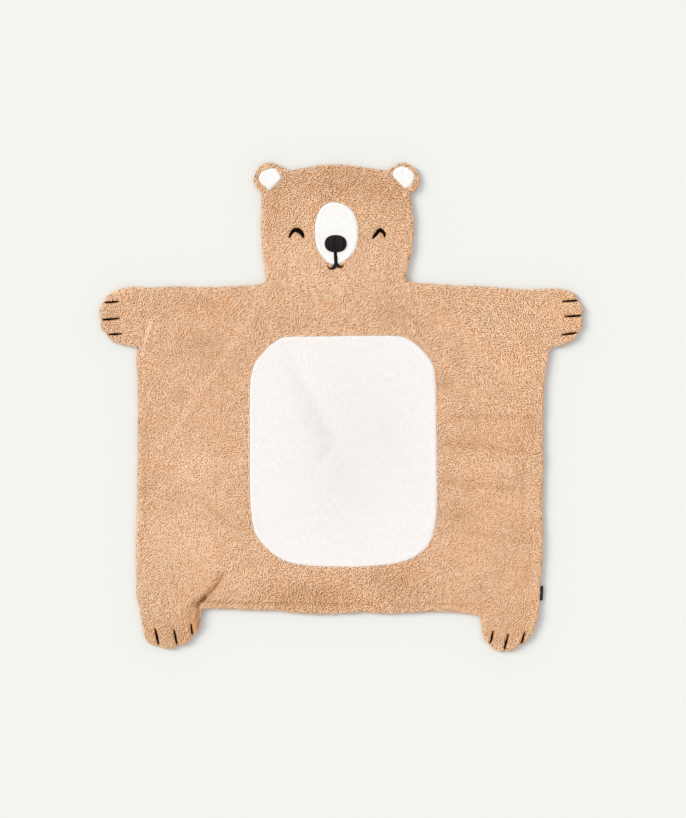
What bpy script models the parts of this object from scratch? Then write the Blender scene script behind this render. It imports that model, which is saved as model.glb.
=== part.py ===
"""Bear-shaped play rug of curly fleece, lying flat with its head towards +Y.

The fleece is one padded piece, closed by a turned seam round its edge. Its top is a
height field over a plan: it rounds down to the seam, rises and sinks with the folds,
and is pressed down under each patch and each line of stitching. Patches and stitching
are slabs raised from the same plan, so they lie parallel to the fleece below them.
Metres, +Z up, origin under the middle of the rug.
"""

import math
from collections import namedtuple

import bmesh
import bpy
import numpy as np
from mathutils import Vector
from mathutils.geometry import delaunay_2d_cdt, interpolate_bezier

# Driving dimensions. The rug's plan, about 1.00 m from paw to paw, is in the tables below.
PILE_TOP = 0.014  # top of the pile above the floor
SEAM_HEIGHT = 0.005  # the turned seam above the floor
TOP_ROUND = 0.013  # width over which the top rounds down to the seam
UNDER_ROUND = 0.007  # width over which the underside rises to the seam
GAP = 0.0003  # clearance between pieces that are sewn together

PATCH_SINK = 0.0038  # how far the fleece is pressed down under a patch
PATCH_THICKNESS = 0.0025
PATCH_SHOULDER = 0.003  # width of a patch's turned edge
STITCH_SINK = 0.0020  # how far the fleece is pressed down under satin stitch
STITCH_THICKNESS = 0.0019
NOSE_THICKNESS = 0.0022
NOSE_SHOULDER = 0.0035
MOUTH_SHOULDER = 0.0010
EDGE_SHARE = 0.45  # a slab's thickness at its edge, as a share of the full one
HOLLOW_MARGIN = 0.0008  # flat floor round a piece that is sunk into the fleece
HOLLOW_SLOPE = 1.6  # steepness of the pile beside it

CLAW_WIDTH = 0.0044
LABEL_REACH = 0.0068  # how far the side label stands out of the seam
LABEL_THICKNESS = 0.0014
LABEL_TOP = -0.3735
LABEL_BOTTOM = -0.404

# Mesh spacing
SEAM_STEP = 0.012
PATCH_STEP = 0.015
NOSE_POINTS = 20
FOLD_STEP = 0.017
FIELD_STEP = 0.023
RIM_RINGS = (0.0042, 0.0125)  # rings of points on the top, by their distance from the seam
UNDER_RINGS = (0.0022, UNDER_ROUND)
UNDER_STEP = 0.090
RING_SHARE = 0.93  # how near the seam a ring's points may lie, as a share of its distance
ROOM_SHARE = 0.6  # least distance between points, as a share of their ring, fold or field
FIELD_MARGIN = 0.3  # how far a field stays off the last ring, as a share of its spacing
FINE_ROOM = 0.0007  # least distance between points in and round a slab
FINE_SEAM_ROOM = 0.0012  # least distance from them to the seam
SHARP_ANGLE = 50  # degrees; edges that bend more are drawn sharp
MERGE = 1e-6  # points closer than this are one

Fold = namedtuple("Fold", "name x0 y0 x1 y1 x2 y2 rise reach")
Stroke = namedtuple("Stroke", "x y width")
Claw = namedtuple("Claw", "paw number x_tip y_tip x_root y_root")
Inlay = namedtuple("Inlay", "name outline spine shoulder thickness bed sink material")

# Seam line, clockwise seen from above, as runs that meet at corners. A run is a smooth
# curve through its points, and ends where the next one starts. Columns: x, y.
SEAM_RUNS = {
    "crown": (
        (-0.1095, 0.488), (-0.084, 0.492), (-0.057, 0.497), (-0.010, 0.5008), (0.038, 0.4962),
        (0.070, 0.4908),
    ),
    "ear right": (
        (0.0935, 0.4885), (0.108, 0.4955), (0.1195, 0.5015), (0.128, 0.5045), (0.1375, 0.5018),
        (0.1465, 0.497), (0.1545, 0.4902), (0.1602, 0.4795), (0.162, 0.469), (0.159, 0.4562),
        (0.1522, 0.448),
    ),
    "cheek right": (
        (0.1425, 0.4415), (0.1445, 0.421), (0.149, 0.393), (0.1497, 0.369), (0.1478, 0.338),
        (0.1456, 0.319), (0.1388, 0.294), (0.1345, 0.270),
    ),
    "arm right": (
        (0.1335, 0.2595), (0.157, 0.2552), (0.195, 0.2525), (0.240, 0.2495), (0.290, 0.2485),
        (0.333, 0.2448), (0.378, 0.241), (0.415, 0.2418), (0.438, 0.2437), (0.461, 0.242),
        (0.480, 0.2355), (0.487, 0.2275),
    ),
    "front right toe 1": ((0.490, 0.220), (0.4985, 0.209), (0.5008, 0.197)),
    "front right toe 2": ((0.497, 0.188), (0.501, 0.176), (0.4977, 0.163)),
    "front right toe 3": ((0.489, 0.153), (0.486, 0.142), (0.4745, 0.1346), (0.455, 0.127)),
    "side right": (
        (0.432, 0.1215), (0.4285, 0.102), (0.4235, 0.072), (0.4195, 0.030), (0.4177, -0.030),
        (0.418, -0.128), (0.4162, -0.190), (0.4172, -0.250), (0.4165, -0.325),
        (0.4125, -0.362), (0.4108, -0.400), (0.409, -0.428), (0.4035, -0.4525),
        (0.3943, -0.4727), (0.3843, -0.4858),
    ),
    "hind right toe 1": ((0.372, -0.4925), (0.3605, -0.5005), (0.3485, -0.5058)),
    "hind right toe 2": ((0.3375, -0.504), (0.327, -0.5065), (0.316, -0.5015)),
    "hind right heel": (
        (0.308, -0.491), (0.3008, -0.4868), (0.295, -0.4755), (0.2918, -0.451),
    ),
    "lower edge": (
        (0.290, -0.433), (0.272, -0.4287), (0.241, -0.4255), (0.209, -0.4233), (0.146, -0.426),
        (0.098, -0.428), (0.066, -0.4262), (0.048, -0.4235), (0.031, -0.4266),
        (-0.012, -0.4279), (-0.042, -0.429), (-0.101, -0.4258), (-0.137, -0.4212),
        (-0.190, -0.4207), (-0.233, -0.4178), (-0.268, -0.4173),
    ),
    "hind left heel": (
        (-0.287, -0.4175), (-0.2918, -0.438), (-0.294, -0.456), (-0.2993, -0.4683),
    ),
    "hind left toe 1": ((-0.307, -0.4725), (-0.316, -0.4863), (-0.330, -0.4943)),
    "hind left toe 2": (
        (-0.340, -0.4935), (-0.3473, -0.4993), (-0.357, -0.5015), (-0.368, -0.5002),
    ),
    "side left": (
        (-0.3765, -0.4945), (-0.388, -0.4945), (-0.400, -0.487), (-0.407, -0.475),
        (-0.4115, -0.450), (-0.4155, -0.422), (-0.421, -0.402), (-0.423, -0.379),
        (-0.4245, -0.286), (-0.422, -0.204), (-0.4205, -0.090), (-0.420, 0.014),
        (-0.4215, 0.059), (-0.423, 0.100),
    ),
    "front left toe 3": ((-0.420, 0.123), (-0.452, 0.1295), (-0.4712, 0.1345)),
    "front left toe 2": ((-0.482, 0.148), (-0.493, 0.158), (-0.4975, 0.170)),
    "front left toe 1": ((-0.4955, 0.1795), (-0.4998, 0.191), (-0.4983, 0.2055)),
    "arm left": (
        (-0.4915, 0.2145), (-0.4862, 0.226), (-0.4722, 0.2365), (-0.457, 0.2428),
        (-0.4395, 0.2466), (-0.392, 0.2455), (-0.360, 0.2475), (-0.320, 0.2476),
        (-0.276, 0.2461), (-0.245, 0.2475), (-0.208, 0.2486), (-0.178, 0.2515),
    ),
    "cheek left": (
        (-0.1545, 0.2555), (-0.156, 0.270), (-0.1588, 0.295), (-0.162, 0.320),
        (-0.1645, 0.350), (-0.1655, 0.375), (-0.1642, 0.400),
    ),
    "ear left": (
        (-0.1628, 0.4415), (-0.1735, 0.4535), (-0.1782, 0.463), (-0.1797, 0.4722),
        (-0.1775, 0.4805), (-0.1738, 0.488), (-0.1685, 0.495), (-0.162, 0.501),
        (-0.153, 0.5045), (-0.140, 0.503), (-0.1315, 0.4998),
    ),
}

# Patches, as closed smooth curves. Columns: x, y.
BELLY_CURVE = (
    (-0.118, 0.1445), (-0.060, 0.146), (0.060, 0.1475), (0.121, 0.1465), (0.142, 0.139),
    (0.161, 0.1255), (0.1825, 0.101), (0.1915, 0.085), (0.1955, 0.056), (0.197, 0.0195),
    (0.1985, -0.090), (0.199, -0.1965), (0.1975, -0.233), (0.1925, -0.2575),
    (0.1855, -0.2795), (0.175, -0.294), (0.1505, -0.313), (0.1215, -0.3235),
    (0.078, -0.3295), (0.027, -0.3325), (-0.035, -0.3315), (-0.071, -0.3295),
    (-0.1075, -0.323), (-0.130, -0.313), (-0.151, -0.297), (-0.1715, -0.2735),
    (-0.182, -0.2515), (-0.186, -0.224), (-0.189, -0.192), (-0.190, -0.069),
    (-0.1895, 0.041), (-0.1855, 0.070), (-0.1755, 0.0965), (-0.157, 0.118),
    (-0.136, 0.136),
)
MUZZLE_CURVE = (
    (-0.0145, 0.4238), (0.0098, 0.4175), (0.0263, 0.4012), (0.0340, 0.378),
    (0.0355, 0.3545), (0.0312, 0.3285), (0.0152, 0.3065), (-0.0103, 0.2922),
    (-0.031, 0.3013), (-0.048, 0.3236), (-0.0542, 0.3484), (-0.0546, 0.373),
    (-0.047, 0.4030), (-0.0325, 0.4195),
)
EAR_LEFT_CURVE = (
    (-0.1428, 0.4941), (-0.1339, 0.4918), (-0.1283, 0.4851), (-0.1232, 0.4735),
    (-0.1250, 0.4697), (-0.1345, 0.4608), (-0.1446, 0.4514), (-0.1492, 0.4474),
    (-0.1536, 0.4511), (-0.1600, 0.4570), (-0.1690, 0.4657), (-0.1703, 0.4745),
    (-0.1682, 0.4818), (-0.1629, 0.4877), (-0.1528, 0.4915),
)
EAR_RIGHT_CURVE = (
    (0.1273, 0.4985), (0.1445, 0.4906), (0.1513, 0.4823), (0.1517, 0.4732),
    (0.1474, 0.4616), (0.1399, 0.4542), (0.1308, 0.4521), (0.1242, 0.4581),
    (0.1176, 0.4662), (0.1062, 0.4769), (0.1056, 0.4838), (0.1128, 0.4933),
)

# Stitched features. The eyes are strokes along their middle line.
EYE_LEFT = (
    Stroke(-0.1076, 0.3492, 0.0019), Stroke(-0.1047, 0.3562, 0.0050),
    Stroke(-0.1008, 0.3625, 0.0068), Stroke(-0.0954, 0.3658, 0.0087),
    Stroke(-0.0898, 0.3654, 0.0099), Stroke(-0.0840, 0.3618, 0.0095),
    Stroke(-0.0797, 0.3560, 0.0072), Stroke(-0.0776, 0.3496, 0.0031),
)
EYE_RIGHT = (
    Stroke(0.0650, 0.3476, 0.0017), Stroke(0.0690, 0.3531, 0.0062),
    Stroke(0.0737, 0.3589, 0.0064), Stroke(0.0779, 0.3643, 0.0079),
    Stroke(0.0818, 0.3658, 0.0083), Stroke(0.0853, 0.3629, 0.0072),
    Stroke(0.0888, 0.3600, 0.0064), Stroke(0.0903, 0.3554, 0.0046),
    Stroke(0.0901, 0.3502, 0.0014),
)
NOSE_CENTRE = (-0.0112, 0.3372)
NOSE_RADII = (0.0227, 0.0180)
NOSE_POWER = 2.35  # 2 for an ellipse, more for squarer corners
# Philtrum and mouth in one outline, from the philtrum's top. Columns: x, y.
MOUTH_OUTLINE = (
    (-0.0151, 0.3184), (-0.0089, 0.3184), (-0.0075, 0.3076), (-0.0068, 0.2977),
    (-0.0037, 0.2923), (0.0000, 0.2906), (0.0058, 0.2925), (0.0029, 0.2888),
    (-0.0014, 0.2865), (-0.0066, 0.2881), (-0.0099, 0.2898), (-0.0120, 0.2857),
    (-0.0180, 0.2830), (-0.0244, 0.2848), (-0.0302, 0.2915), (-0.0240, 0.2879),
    (-0.0199, 0.2877), (-0.0168, 0.2912), (-0.0141, 0.2973), (-0.0147, 0.3076),
)
CLAWS = (
    Claw("front_left", 1, -0.4880, 0.2155, -0.4600, 0.2175),
    Claw("front_left", 2, -0.4930, 0.1797, -0.4585, 0.1827),
    Claw("front_left", 3, -0.4790, 0.1493, -0.4535, 0.1508),
    Claw("front_right", 1, 0.4865, 0.2195, 0.4590, 0.2175),
    Claw("front_right", 2, 0.4935, 0.1882, 0.4640, 0.1865),
    Claw("front_right", 3, 0.4850, 0.1523, 0.4575, 0.1485),
    Claw("hind_left", 1, -0.3782, -0.4905, -0.3850, -0.4590),
    Claw("hind_left", 2, -0.3407, -0.4885, -0.3460, -0.4610),
    Claw("hind_left", 3, -0.3085, -0.4690, -0.3107, -0.4495),
    Claw("hind_right", 1, 0.3100, -0.4870, 0.3150, -0.4650),
    Claw("hind_right", 2, 0.3385, -0.4995, 0.3463, -0.4705),
    Claw("hind_right", 3, 0.3737, -0.4875, 0.3812, -0.4660),
)
# A claw's width along it, from the root to the tip, as shares of CLAW_WIDTH.
CLAW_TAPER = (0.36, 0.78, 1.0, 0.72)

# Folds: ridges (rise above 0) and troughs (below 0) along a bowed line of three points.
# reach is the distance at which they have faded to about a third.
FOLDS = (
    Fold("hip left trough", -0.298, -0.410, -0.263, -0.377, -0.232, -0.334, -0.0046, 0.008),
    Fold("hip left ridge", -0.303, -0.393, -0.279, -0.354, -0.256, -0.318, 0.0030, 0.014),
    Fold("hip left crease", -0.265, -0.220, -0.236, -0.241, -0.209, -0.256, -0.0018, 0.007),
    Fold("hip left tuck", -0.294, -0.412, -0.313, -0.425, -0.321, -0.445, -0.0020, 0.008),
    Fold("hip right tuck", 0.296, -0.425, 0.306, -0.410, 0.318, -0.395, -0.0016, 0.007),
    Fold("armpit left ridge", -0.396, 0.176, -0.4025, 0.138, -0.413, 0.112, 0.0026, 0.006),
    Fold("armpit right tuck", 0.424, 0.124, 0.414, 0.135, 0.400, 0.150, -0.0014, 0.008),
    Fold("shoulder left crease", -0.168, 0.194, -0.262, 0.065, -0.345, -0.062, 0.0018, 0.008),
    Fold("flank left hollow", -0.218, 0.105, -0.215, 0.020, -0.212, -0.065, -0.0014, 0.017),
    Fold("flank left swell", -0.300, -0.080, -0.285, -0.150, -0.290, -0.220, 0.0018, 0.034),
    Fold("thigh left swell", -0.340, -0.250, -0.310, -0.300, -0.270, -0.300, 0.0014, 0.032),
    Fold("edge left valley", -0.404, -0.100, -0.401, -0.180, -0.404, -0.250, -0.0013, 0.012),
    Fold("side right wrinkle 1", 0.215, -0.022, 0.290, -0.025, 0.405, -0.023, -0.0021, 0.008),
    Fold("side right wrinkle 2", 0.208, -0.072, 0.285, -0.083, 0.408, -0.091, -0.0023, 0.010),
    Fold("side right wrinkle 3", 0.218, -0.150, 0.300, -0.158, 0.402, -0.173, -0.0019, 0.009),
    Fold("side right wrinkle 4", 0.208, -0.235, 0.290, -0.252, 0.404, -0.280, -0.0016, 0.010),
    Fold("side right swell", 0.225, -0.120, 0.290, -0.122, 0.360, -0.126, 0.0014, 0.018),
    Fold("neck right tuck", 0.132, 0.262, 0.113, 0.225, 0.108, 0.190, -0.0020, 0.011),
    Fold("neck left tuck", -0.153, 0.257, -0.146, 0.240, -0.146, 0.220, -0.0014, 0.009),
    Fold("eye left crease", -0.158, 0.364, -0.138, 0.367, -0.116, 0.367, -0.0013, 0.008),
    Fold("belly fold", -0.104, 0.115, -0.058, 0.018, -0.010, -0.074, -0.0021, 0.015),
    Fold("belly hook", -0.010, -0.074, -0.028, -0.100, -0.050, -0.123, -0.0017, 0.011),
    Fold("hem valley", -0.060, -0.405, -0.010, -0.408, 0.030, -0.404, -0.0013, 0.012),
    Fold("hem ridge", 0.028, -0.347, 0.040, -0.372, 0.052, -0.400, 0.0012, 0.014),
)
FOLD_SAMPLES = 9
FOLD_END = 0.25  # a fold's height at its ends, as a share of its rise
FOLD_SIDE = 1.1  # where the points beside a fold lie, as a share of its reach
FOLD_WIDE = 0.015  # folds that reach further need no points of their own

# Materials: colour, roughness
MATERIALS = {
    "fleece_camel": ((0.723, 0.456, 0.272, 1.0), 0.95),
    "plush_cream": ((0.920, 0.890, 0.830, 1.0), 0.90),
    "satin_thread_black": ((0.012, 0.011, 0.012, 1.0), 0.45),
    "label_black": ((0.018, 0.018, 0.018, 1.0), 0.70),
}


# Curves in the plan

def smooth_curve(points, step, closed=False):
    """Points along a smooth curve, about a step apart. An open one lacks its last point."""
    knots = [Vector((x, y, 0.0)) for x, y in points]
    count = len(knots)
    tangents = []
    for i in range(count):
        before = knots[i - 1] if closed or i > 0 else knots[0]
        after = knots[(i + 1) % count] if closed or i < count - 1 else knots[-1]
        tangents.append((after - before).normalized())
    path = []
    for i in range(count if closed else count - 1):
        j = (i + 1) % count
        span = (knots[j] - knots[i]).length
        pieces = max(2, round(span / step))
        start_handle = knots[i] + tangents[i] * span / 3
        end_handle = knots[j] - tangents[j] * span / 3
        path += interpolate_bezier(knots[i], start_handle, end_handle, knots[j], pieces + 1)[:-1]
    return [(p.x, p.y) for p in path]


def seam_loop():
    """The whole seam line, clockwise seen from above."""
    names = list(SEAM_RUNS)
    loop = []
    for i, name in enumerate(names):
        closing = SEAM_RUNS[names[(i + 1) % len(names)]][0]
        loop += smooth_curve((*SEAM_RUNS[name], closing), SEAM_STEP)
    return loop


def stroke_loop(strokes):
    """Outline of a line of stitching whose width changes along it."""
    left, right = [], []
    for i, stroke in enumerate(strokes):
        before, after = strokes[max(i - 1, 0)], strokes[min(i + 1, len(strokes) - 1)]
        along = Vector((after.x - before.x, after.y - before.y)).normalized()
        across = Vector((-along.y, along.x)) * stroke.width / 2
        left.append((stroke.x + across.x, stroke.y + across.y))
        right.append((stroke.x - across.x, stroke.y - across.y))
    return left + right[::-1]


def claw_strokes(claw):
    strokes = []
    for i, share in enumerate(CLAW_TAPER):
        t = i / (len(CLAW_TAPER) - 1)
        x = claw.x_root + (claw.x_tip - claw.x_root) * t
        y = claw.y_root + (claw.y_tip - claw.y_root) * t
        strokes.append(Stroke(x, y, CLAW_WIDTH * share))
    return strokes


def squared_ellipse(centre, radii, power, count):
    """An ellipse with fuller corners, as points at even turns."""
    loop = []
    for i in range(count):
        turn = 2 * math.pi * i / count
        across, up = math.cos(turn), math.sin(turn)
        reach = (abs(across) ** power + abs(up) ** power) ** (-1 / power)
        loop.append((centre[0] + radii[0] * across * reach, centre[1] + radii[1] * up * reach))
    return loop


def offset_loop(loop, distance):
    """Each point moved to the loop's right-hand side by a distance (left if below 0)."""
    moved = []
    for i, (x, y) in enumerate(loop):
        before, after = loop[i - 1], loop[(i + 1) % len(loop)]
        along = Vector((after[0] - before[0], after[1] - before[1])).normalized()
        moved.append((x + along.y * distance, y - along.x * distance))
    return moved


def turning(loop):
    """+1 for an anticlockwise loop, -1 for a clockwise one."""
    area = sum(a[0] * b[1] - b[0] * a[1] for a, b in zip(loop, loop[1:] + loop[:1]))
    return 1 if area > 0 else -1


def grown(loop, distance):
    return offset_loop(loop, distance * turning(loop))


def fold_line(fold):
    """Points along a fold's bowed line, which passes through its middle point."""
    ts = np.linspace(0.0, 1.0, FOLD_SAMPLES)
    bend_x = 2 * fold.x1 - (fold.x0 + fold.x2) / 2
    bend_y = 2 * fold.y1 - (fold.y0 + fold.y2) / 2
    xs = (1 - ts) ** 2 * fold.x0 + 2 * ts * (1 - ts) * bend_x + ts ** 2 * fold.x2
    ys = (1 - ts) ** 2 * fold.y0 + 2 * ts * (1 - ts) * bend_y + ts ** 2 * fold.y2
    return list(zip(xs, ys))


# Distances and heights, for arrays of plan points

def line_distance(points, line, closed=True):
    """Distance of each point to a line of points, and how far along it the nearest lies."""
    starts = np.array(line if closed else line[:-1])
    ends = np.array(line[1:] + line[:1] if closed else line[1:])
    span = ends - starts
    length_squared = (span ** 2).sum(1)
    best = np.full(len(points), np.inf)
    place = np.zeros(len(points))
    for i in range(len(starts)):
        t = ((points - starts[i]) @ span[i]) / length_squared[i]
        t = np.clip(t, 0.0, 1.0)
        nearest = starts[i] + t[:, None] * span[i]
        distance = np.hypot(*(points - nearest).T)
        closer = distance < best
        best[closer] = distance[closer]
        place[closer] = (i + t[closer]) / len(starts)
    return best, place


def inside(points, loop):
    """Which points lie inside a closed loop."""
    x, y = points[:, 0], points[:, 1]
    within = np.zeros(len(points), bool)
    for (xa, ya), (xb, yb) in zip(loop, loop[1:] + loop[:1]):
        if ya == yb:
            continue
        crosses = (ya > y) != (yb > y)
        within ^= crosses & (x < (xb - xa) * (y - ya) / (yb - ya) + xa)
    return within


def outside_distance(points, loop):
    distance, _ = line_distance(points, loop)
    return np.where(inside(points, loop), 0.0, distance)


def crown_height(points):
    """The pile's level with its folds, before it rounds down to the seam."""
    height = np.full(len(points), PILE_TOP)
    for fold in FOLDS:
        distance, place = line_distance(points, fold_line(fold), closed=False)
        fade = np.sin(np.pi * np.clip(place, 0.0, 1.0)) ** 0.5
        strength = FOLD_END + (1.0 - FOLD_END) * fade
        height += fold.rise * strength * np.exp(-(distance / fold.reach) ** 2)
    return height


def pile_height(points):
    """The pile's surface before patches and stitching press it down."""
    edge, _ = line_distance(points, SEAM)
    inward = 1.0 - np.clip(edge / TOP_ROUND, 0.0, 1.0)
    return SEAM_HEIGHT + (crown_height(points) - SEAM_HEIGHT) * np.sqrt(1.0 - inward ** 2)


def patch_bed(points):
    return crown_height(points) - PATCH_SINK


def patch_face(points):
    return patch_bed(points) + GAP + PATCH_THICKNESS


def stitch_bed(points):
    return pile_height(points) - STITCH_SINK


def fleece_top(points):
    """The fleece's upper surface, with a hollow under each piece that is sunk into it."""
    height = pile_height(points)
    for inlay in INLAYS:
        if inlay.sink:
            away = np.maximum(outside_distance(points, inlay.outline) - HOLLOW_MARGIN, 0.0)
            height = np.minimum(height, inlay.bed(points) + HOLLOW_SLOPE * away)
    return height


def fleece_underside(points):
    edge, _ = line_distance(points, SEAM)
    inward = 1.0 - np.clip(edge / UNDER_ROUND, 0.0, 1.0)
    return SEAM_HEIGHT * (1.0 - np.sqrt(1.0 - inward ** 2))


# The pieces that lie on the fleece

def make_inlays():
    """Patches and stitching. One with no sink lies wholly on a patch."""
    cream, black = "plush_cream", "satin_thread_black"
    patches = {
        "belly_patch": smooth_curve(BELLY_CURVE, PATCH_STEP, closed=True),
        "muzzle_patch": smooth_curve(MUZZLE_CURVE, PATCH_STEP, closed=True),
        "ear_patch_left": smooth_curve(EAR_LEFT_CURVE, PATCH_STEP, closed=True),
        "ear_patch_right": smooth_curve(EAR_RIGHT_CURVE, PATCH_STEP, closed=True),
    }
    inlays = []
    for name, loop in patches.items():
        spine = grown(loop, -PATCH_SHOULDER)
        inlays.append(Inlay(
            name, loop, spine, PATCH_SHOULDER, PATCH_THICKNESS, patch_bed, PATCH_SINK, cream))
    strokes = {"eye_stitch_left": EYE_LEFT, "eye_stitch_right": EYE_RIGHT}
    for claw in CLAWS:
        strokes[f"claw_stitch_{claw.paw}_{claw.number}"] = claw_strokes(claw)
    for name, line in strokes.items():
        spine = [(stroke.x, stroke.y) for stroke in line[1:-1]]
        shoulder = max(stroke.width for stroke in line) / 2
        inlays.append(Inlay(
            name, stroke_loop(line), spine, shoulder, STITCH_THICKNESS, stitch_bed,
            STITCH_SINK, black))
    nose = squared_ellipse(NOSE_CENTRE, NOSE_RADII, NOSE_POWER, NOSE_POINTS)
    inlays.append(Inlay(
        "nose_stitch", nose, grown(nose, -NOSE_SHOULDER), NOSE_SHOULDER, NOSE_THICKNESS,
        patch_face, 0.0, black))
    mouth_sink = PATCH_SINK - PATCH_THICKNESS - GAP
    inlays.append(Inlay(
        "mouth_stitch", list(MOUTH_OUTLINE), [], MOUTH_SHOULDER, STITCH_THICKNESS,
        patch_face, mouth_sink, black))
    return inlays


# The plan: points with a minimum distance between them, then triangles

class Plan:
    """Points and fixed edges of a plan, which is then cut into triangles."""

    def __init__(self):
        self.points = []
        self.edges = []

    def room(self, point, distance):
        if not self.points:
            return True
        away = np.hypot(*(np.array(self.points) - point).T)
        return away.min() >= distance

    def add_loop(self, loop):
        first = len(self.points)
        self.points += loop
        self.edges += [(first + i, first + (i + 1) % len(loop)) for i in range(len(loop))]

    def add_free(self, candidates, distance, from_seam):
        if not candidates:
            return
        candidates = np.array(candidates)
        edge, _ = line_distance(candidates, SEAM)
        usable = inside(candidates, SEAM) & (edge >= from_seam)
        for point in candidates[usable]:
            if self.room(point, distance):
                self.points.append(tuple(point))

    def triangles(self):
        """The plan's points and anticlockwise triangles inside its outer loop."""
        coords = [Vector(point) for point in self.points]
        verts, _, faces, _, _, _ = delaunay_2d_cdt(coords, self.edges, [], 1, MERGE)
        return np.array([tuple(v) for v in verts]), np.array(faces)


def field_grid(step):
    """A grid of equal triangles over the whole rug."""
    left, low = np.min(SEAM, axis=0)
    right, high = np.max(SEAM, axis=0)
    rise = step * math.sqrt(0.75)
    grid = []
    for row in range(int((high - low) / rise) + 1):
        start = left + (step / 2 if row % 2 else 0.0)
        columns = int((right - start) / step) + 1
        grid += [(start + column * step, low + row * rise) for column in range(columns)]
    return grid


def top_plan():
    plan = Plan()
    plan.add_loop(SEAM)
    for inlay in INLAYS:
        plan.add_loop(inlay.outline)
    for inlay in INLAYS:
        plan.add_free(inlay.spine, FINE_ROOM, FINE_SEAM_ROOM)
        if inlay.sink:
            for distance in (HOLLOW_MARGIN, HOLLOW_MARGIN + inlay.sink / HOLLOW_SLOPE):
                plan.add_free(grown(inlay.outline, distance), FINE_ROOM, FINE_SEAM_ROOM)
    for distance in RIM_RINGS:
        plan.add_free(grown(SEAM, -distance), distance * ROOM_SHARE, distance * RING_SHARE)
    for fold in FOLDS:
        if fold.reach <= FOLD_WIDE:
            room = fold.reach * ROOM_SHARE
            line = smooth_curve(fold_line(fold)[::FOLD_SAMPLES // 2], FOLD_STEP)
            plan.add_free(line, room, RIM_RINGS[-1] * ROOM_SHARE)
            for side in (-FOLD_SIDE, FOLD_SIDE):
                beside = offset_loop(line, fold.reach * side)[1:-1]
                plan.add_free(beside, room, RIM_RINGS[-1])
    margin = RIM_RINGS[-1] + FIELD_STEP * FIELD_MARGIN
    plan.add_free(field_grid(FIELD_STEP), FIELD_STEP * ROOM_SHARE, margin)
    return plan


def under_plan():
    plan = Plan()
    plan.add_loop(SEAM)
    for distance in UNDER_RINGS:
        plan.add_free(grown(SEAM, -distance), distance * ROOM_SHARE, distance * RING_SHARE)
    margin = UNDER_RINGS[-1] + UNDER_STEP * FIELD_MARGIN
    plan.add_free(field_grid(UNDER_STEP), margin, margin)
    return plan


# Solids

def add_object(name, bm, material):
    """Make the object and move it so that the rug's middle lies over the origin."""
    bmesh.ops.recalc_face_normals(bm, faces=bm.faces)
    mesh = bpy.data.meshes.new(name)
    bm.to_mesh(mesh)
    bm.free()
    mesh.shade_smooth()
    mesh.set_sharp_from_angle(angle=math.radians(SHARP_ANGLE))
    mesh.materials.append(material)
    obj = bpy.data.objects.new(name, mesh)
    middle = (np.min(SEAM, axis=0) + np.max(SEAM, axis=0)) / 2
    obj.location = (-middle[0], -middle[1], 0.0)
    bpy.context.scene.collection.objects.link(obj)


def make_material(name):
    colour, roughness = MATERIALS[name]
    material = bpy.data.materials.new(name)
    material.use_nodes = True
    shader = material.node_tree.nodes["Principled BSDF"]
    shader.inputs["Base Color"].default_value = colour
    shader.inputs["Roughness"].default_value = roughness
    shader.inputs["Metallic"].default_value = 0.0
    material.diffuse_color = colour
    return material


def make_fleece(points, triangles, material):
    """The padded fleece: top and underside from their own plans, joined at the seam."""
    under_points, under_triangles = under_plan().triangles()
    bm = bmesh.new()
    seam_verts = {}

    def layer(plan_points, heights):
        verts = []
        edge, _ = line_distance(plan_points, SEAM)
        for (x, y), z, away in zip(plan_points, heights, edge):
            if away < MERGE:
                key = (round(x, 6), round(y, 6))
                if key not in seam_verts:
                    seam_verts[key] = bm.verts.new((x, y, SEAM_HEIGHT))
                verts.append(seam_verts[key])
            else:
                verts.append(bm.verts.new((x, y, z)))
        return verts

    top = layer(points, fleece_top(points))
    under = layer(under_points, fleece_underside(under_points))
    for a, b, c in triangles:
        bm.faces.new((top[a], top[b], top[c]))
    for a, b, c in under_triangles:
        bm.faces.new((under[c], under[b], under[a]))
    add_object("fleece_body", bm, material)


def make_slab(inlay, points, triangles, material):
    """A piece raised from the plan's triangles inside its outline, rounded at its edge."""
    centres = points[triangles].mean(1)
    own = triangles[inside(centres, inlay.outline)]
    used = sorted(set(own.flatten()))
    plan_points = points[used]
    bottom = inlay.bed(plan_points) + GAP
    away, _ = line_distance(plan_points, inlay.outline)
    rise = np.sin(np.pi / 2 * np.clip(away / inlay.shoulder, 0.0, 1.0))
    top = bottom + inlay.thickness * (EDGE_SHARE + (1.0 - EDGE_SHARE) * rise)
    bm = bmesh.new()
    below = {p: bm.verts.new((*points[p], z)) for p, z in zip(used, bottom)}
    above = {p: bm.verts.new((*points[p], z)) for p, z in zip(used, top)}
    sides = {}
    for a, b, c in own:
        bm.faces.new((above[a], above[b], above[c]))
        bm.faces.new((below[c], below[b], below[a]))
        for start, end in ((a, b), (b, c), (c, a)):
            sides[(start, end)] = sides.get((start, end), 0) + 1
    for start, end in sides:
        if (end, start) not in sides:
            bm.faces.new((above[end], above[start], below[start], below[end]))
    bmesh.ops.triangulate(bm, faces=[face for face in bm.faces if len(face.verts) > 3])
    add_object(inlay.name, bm, material)


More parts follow.
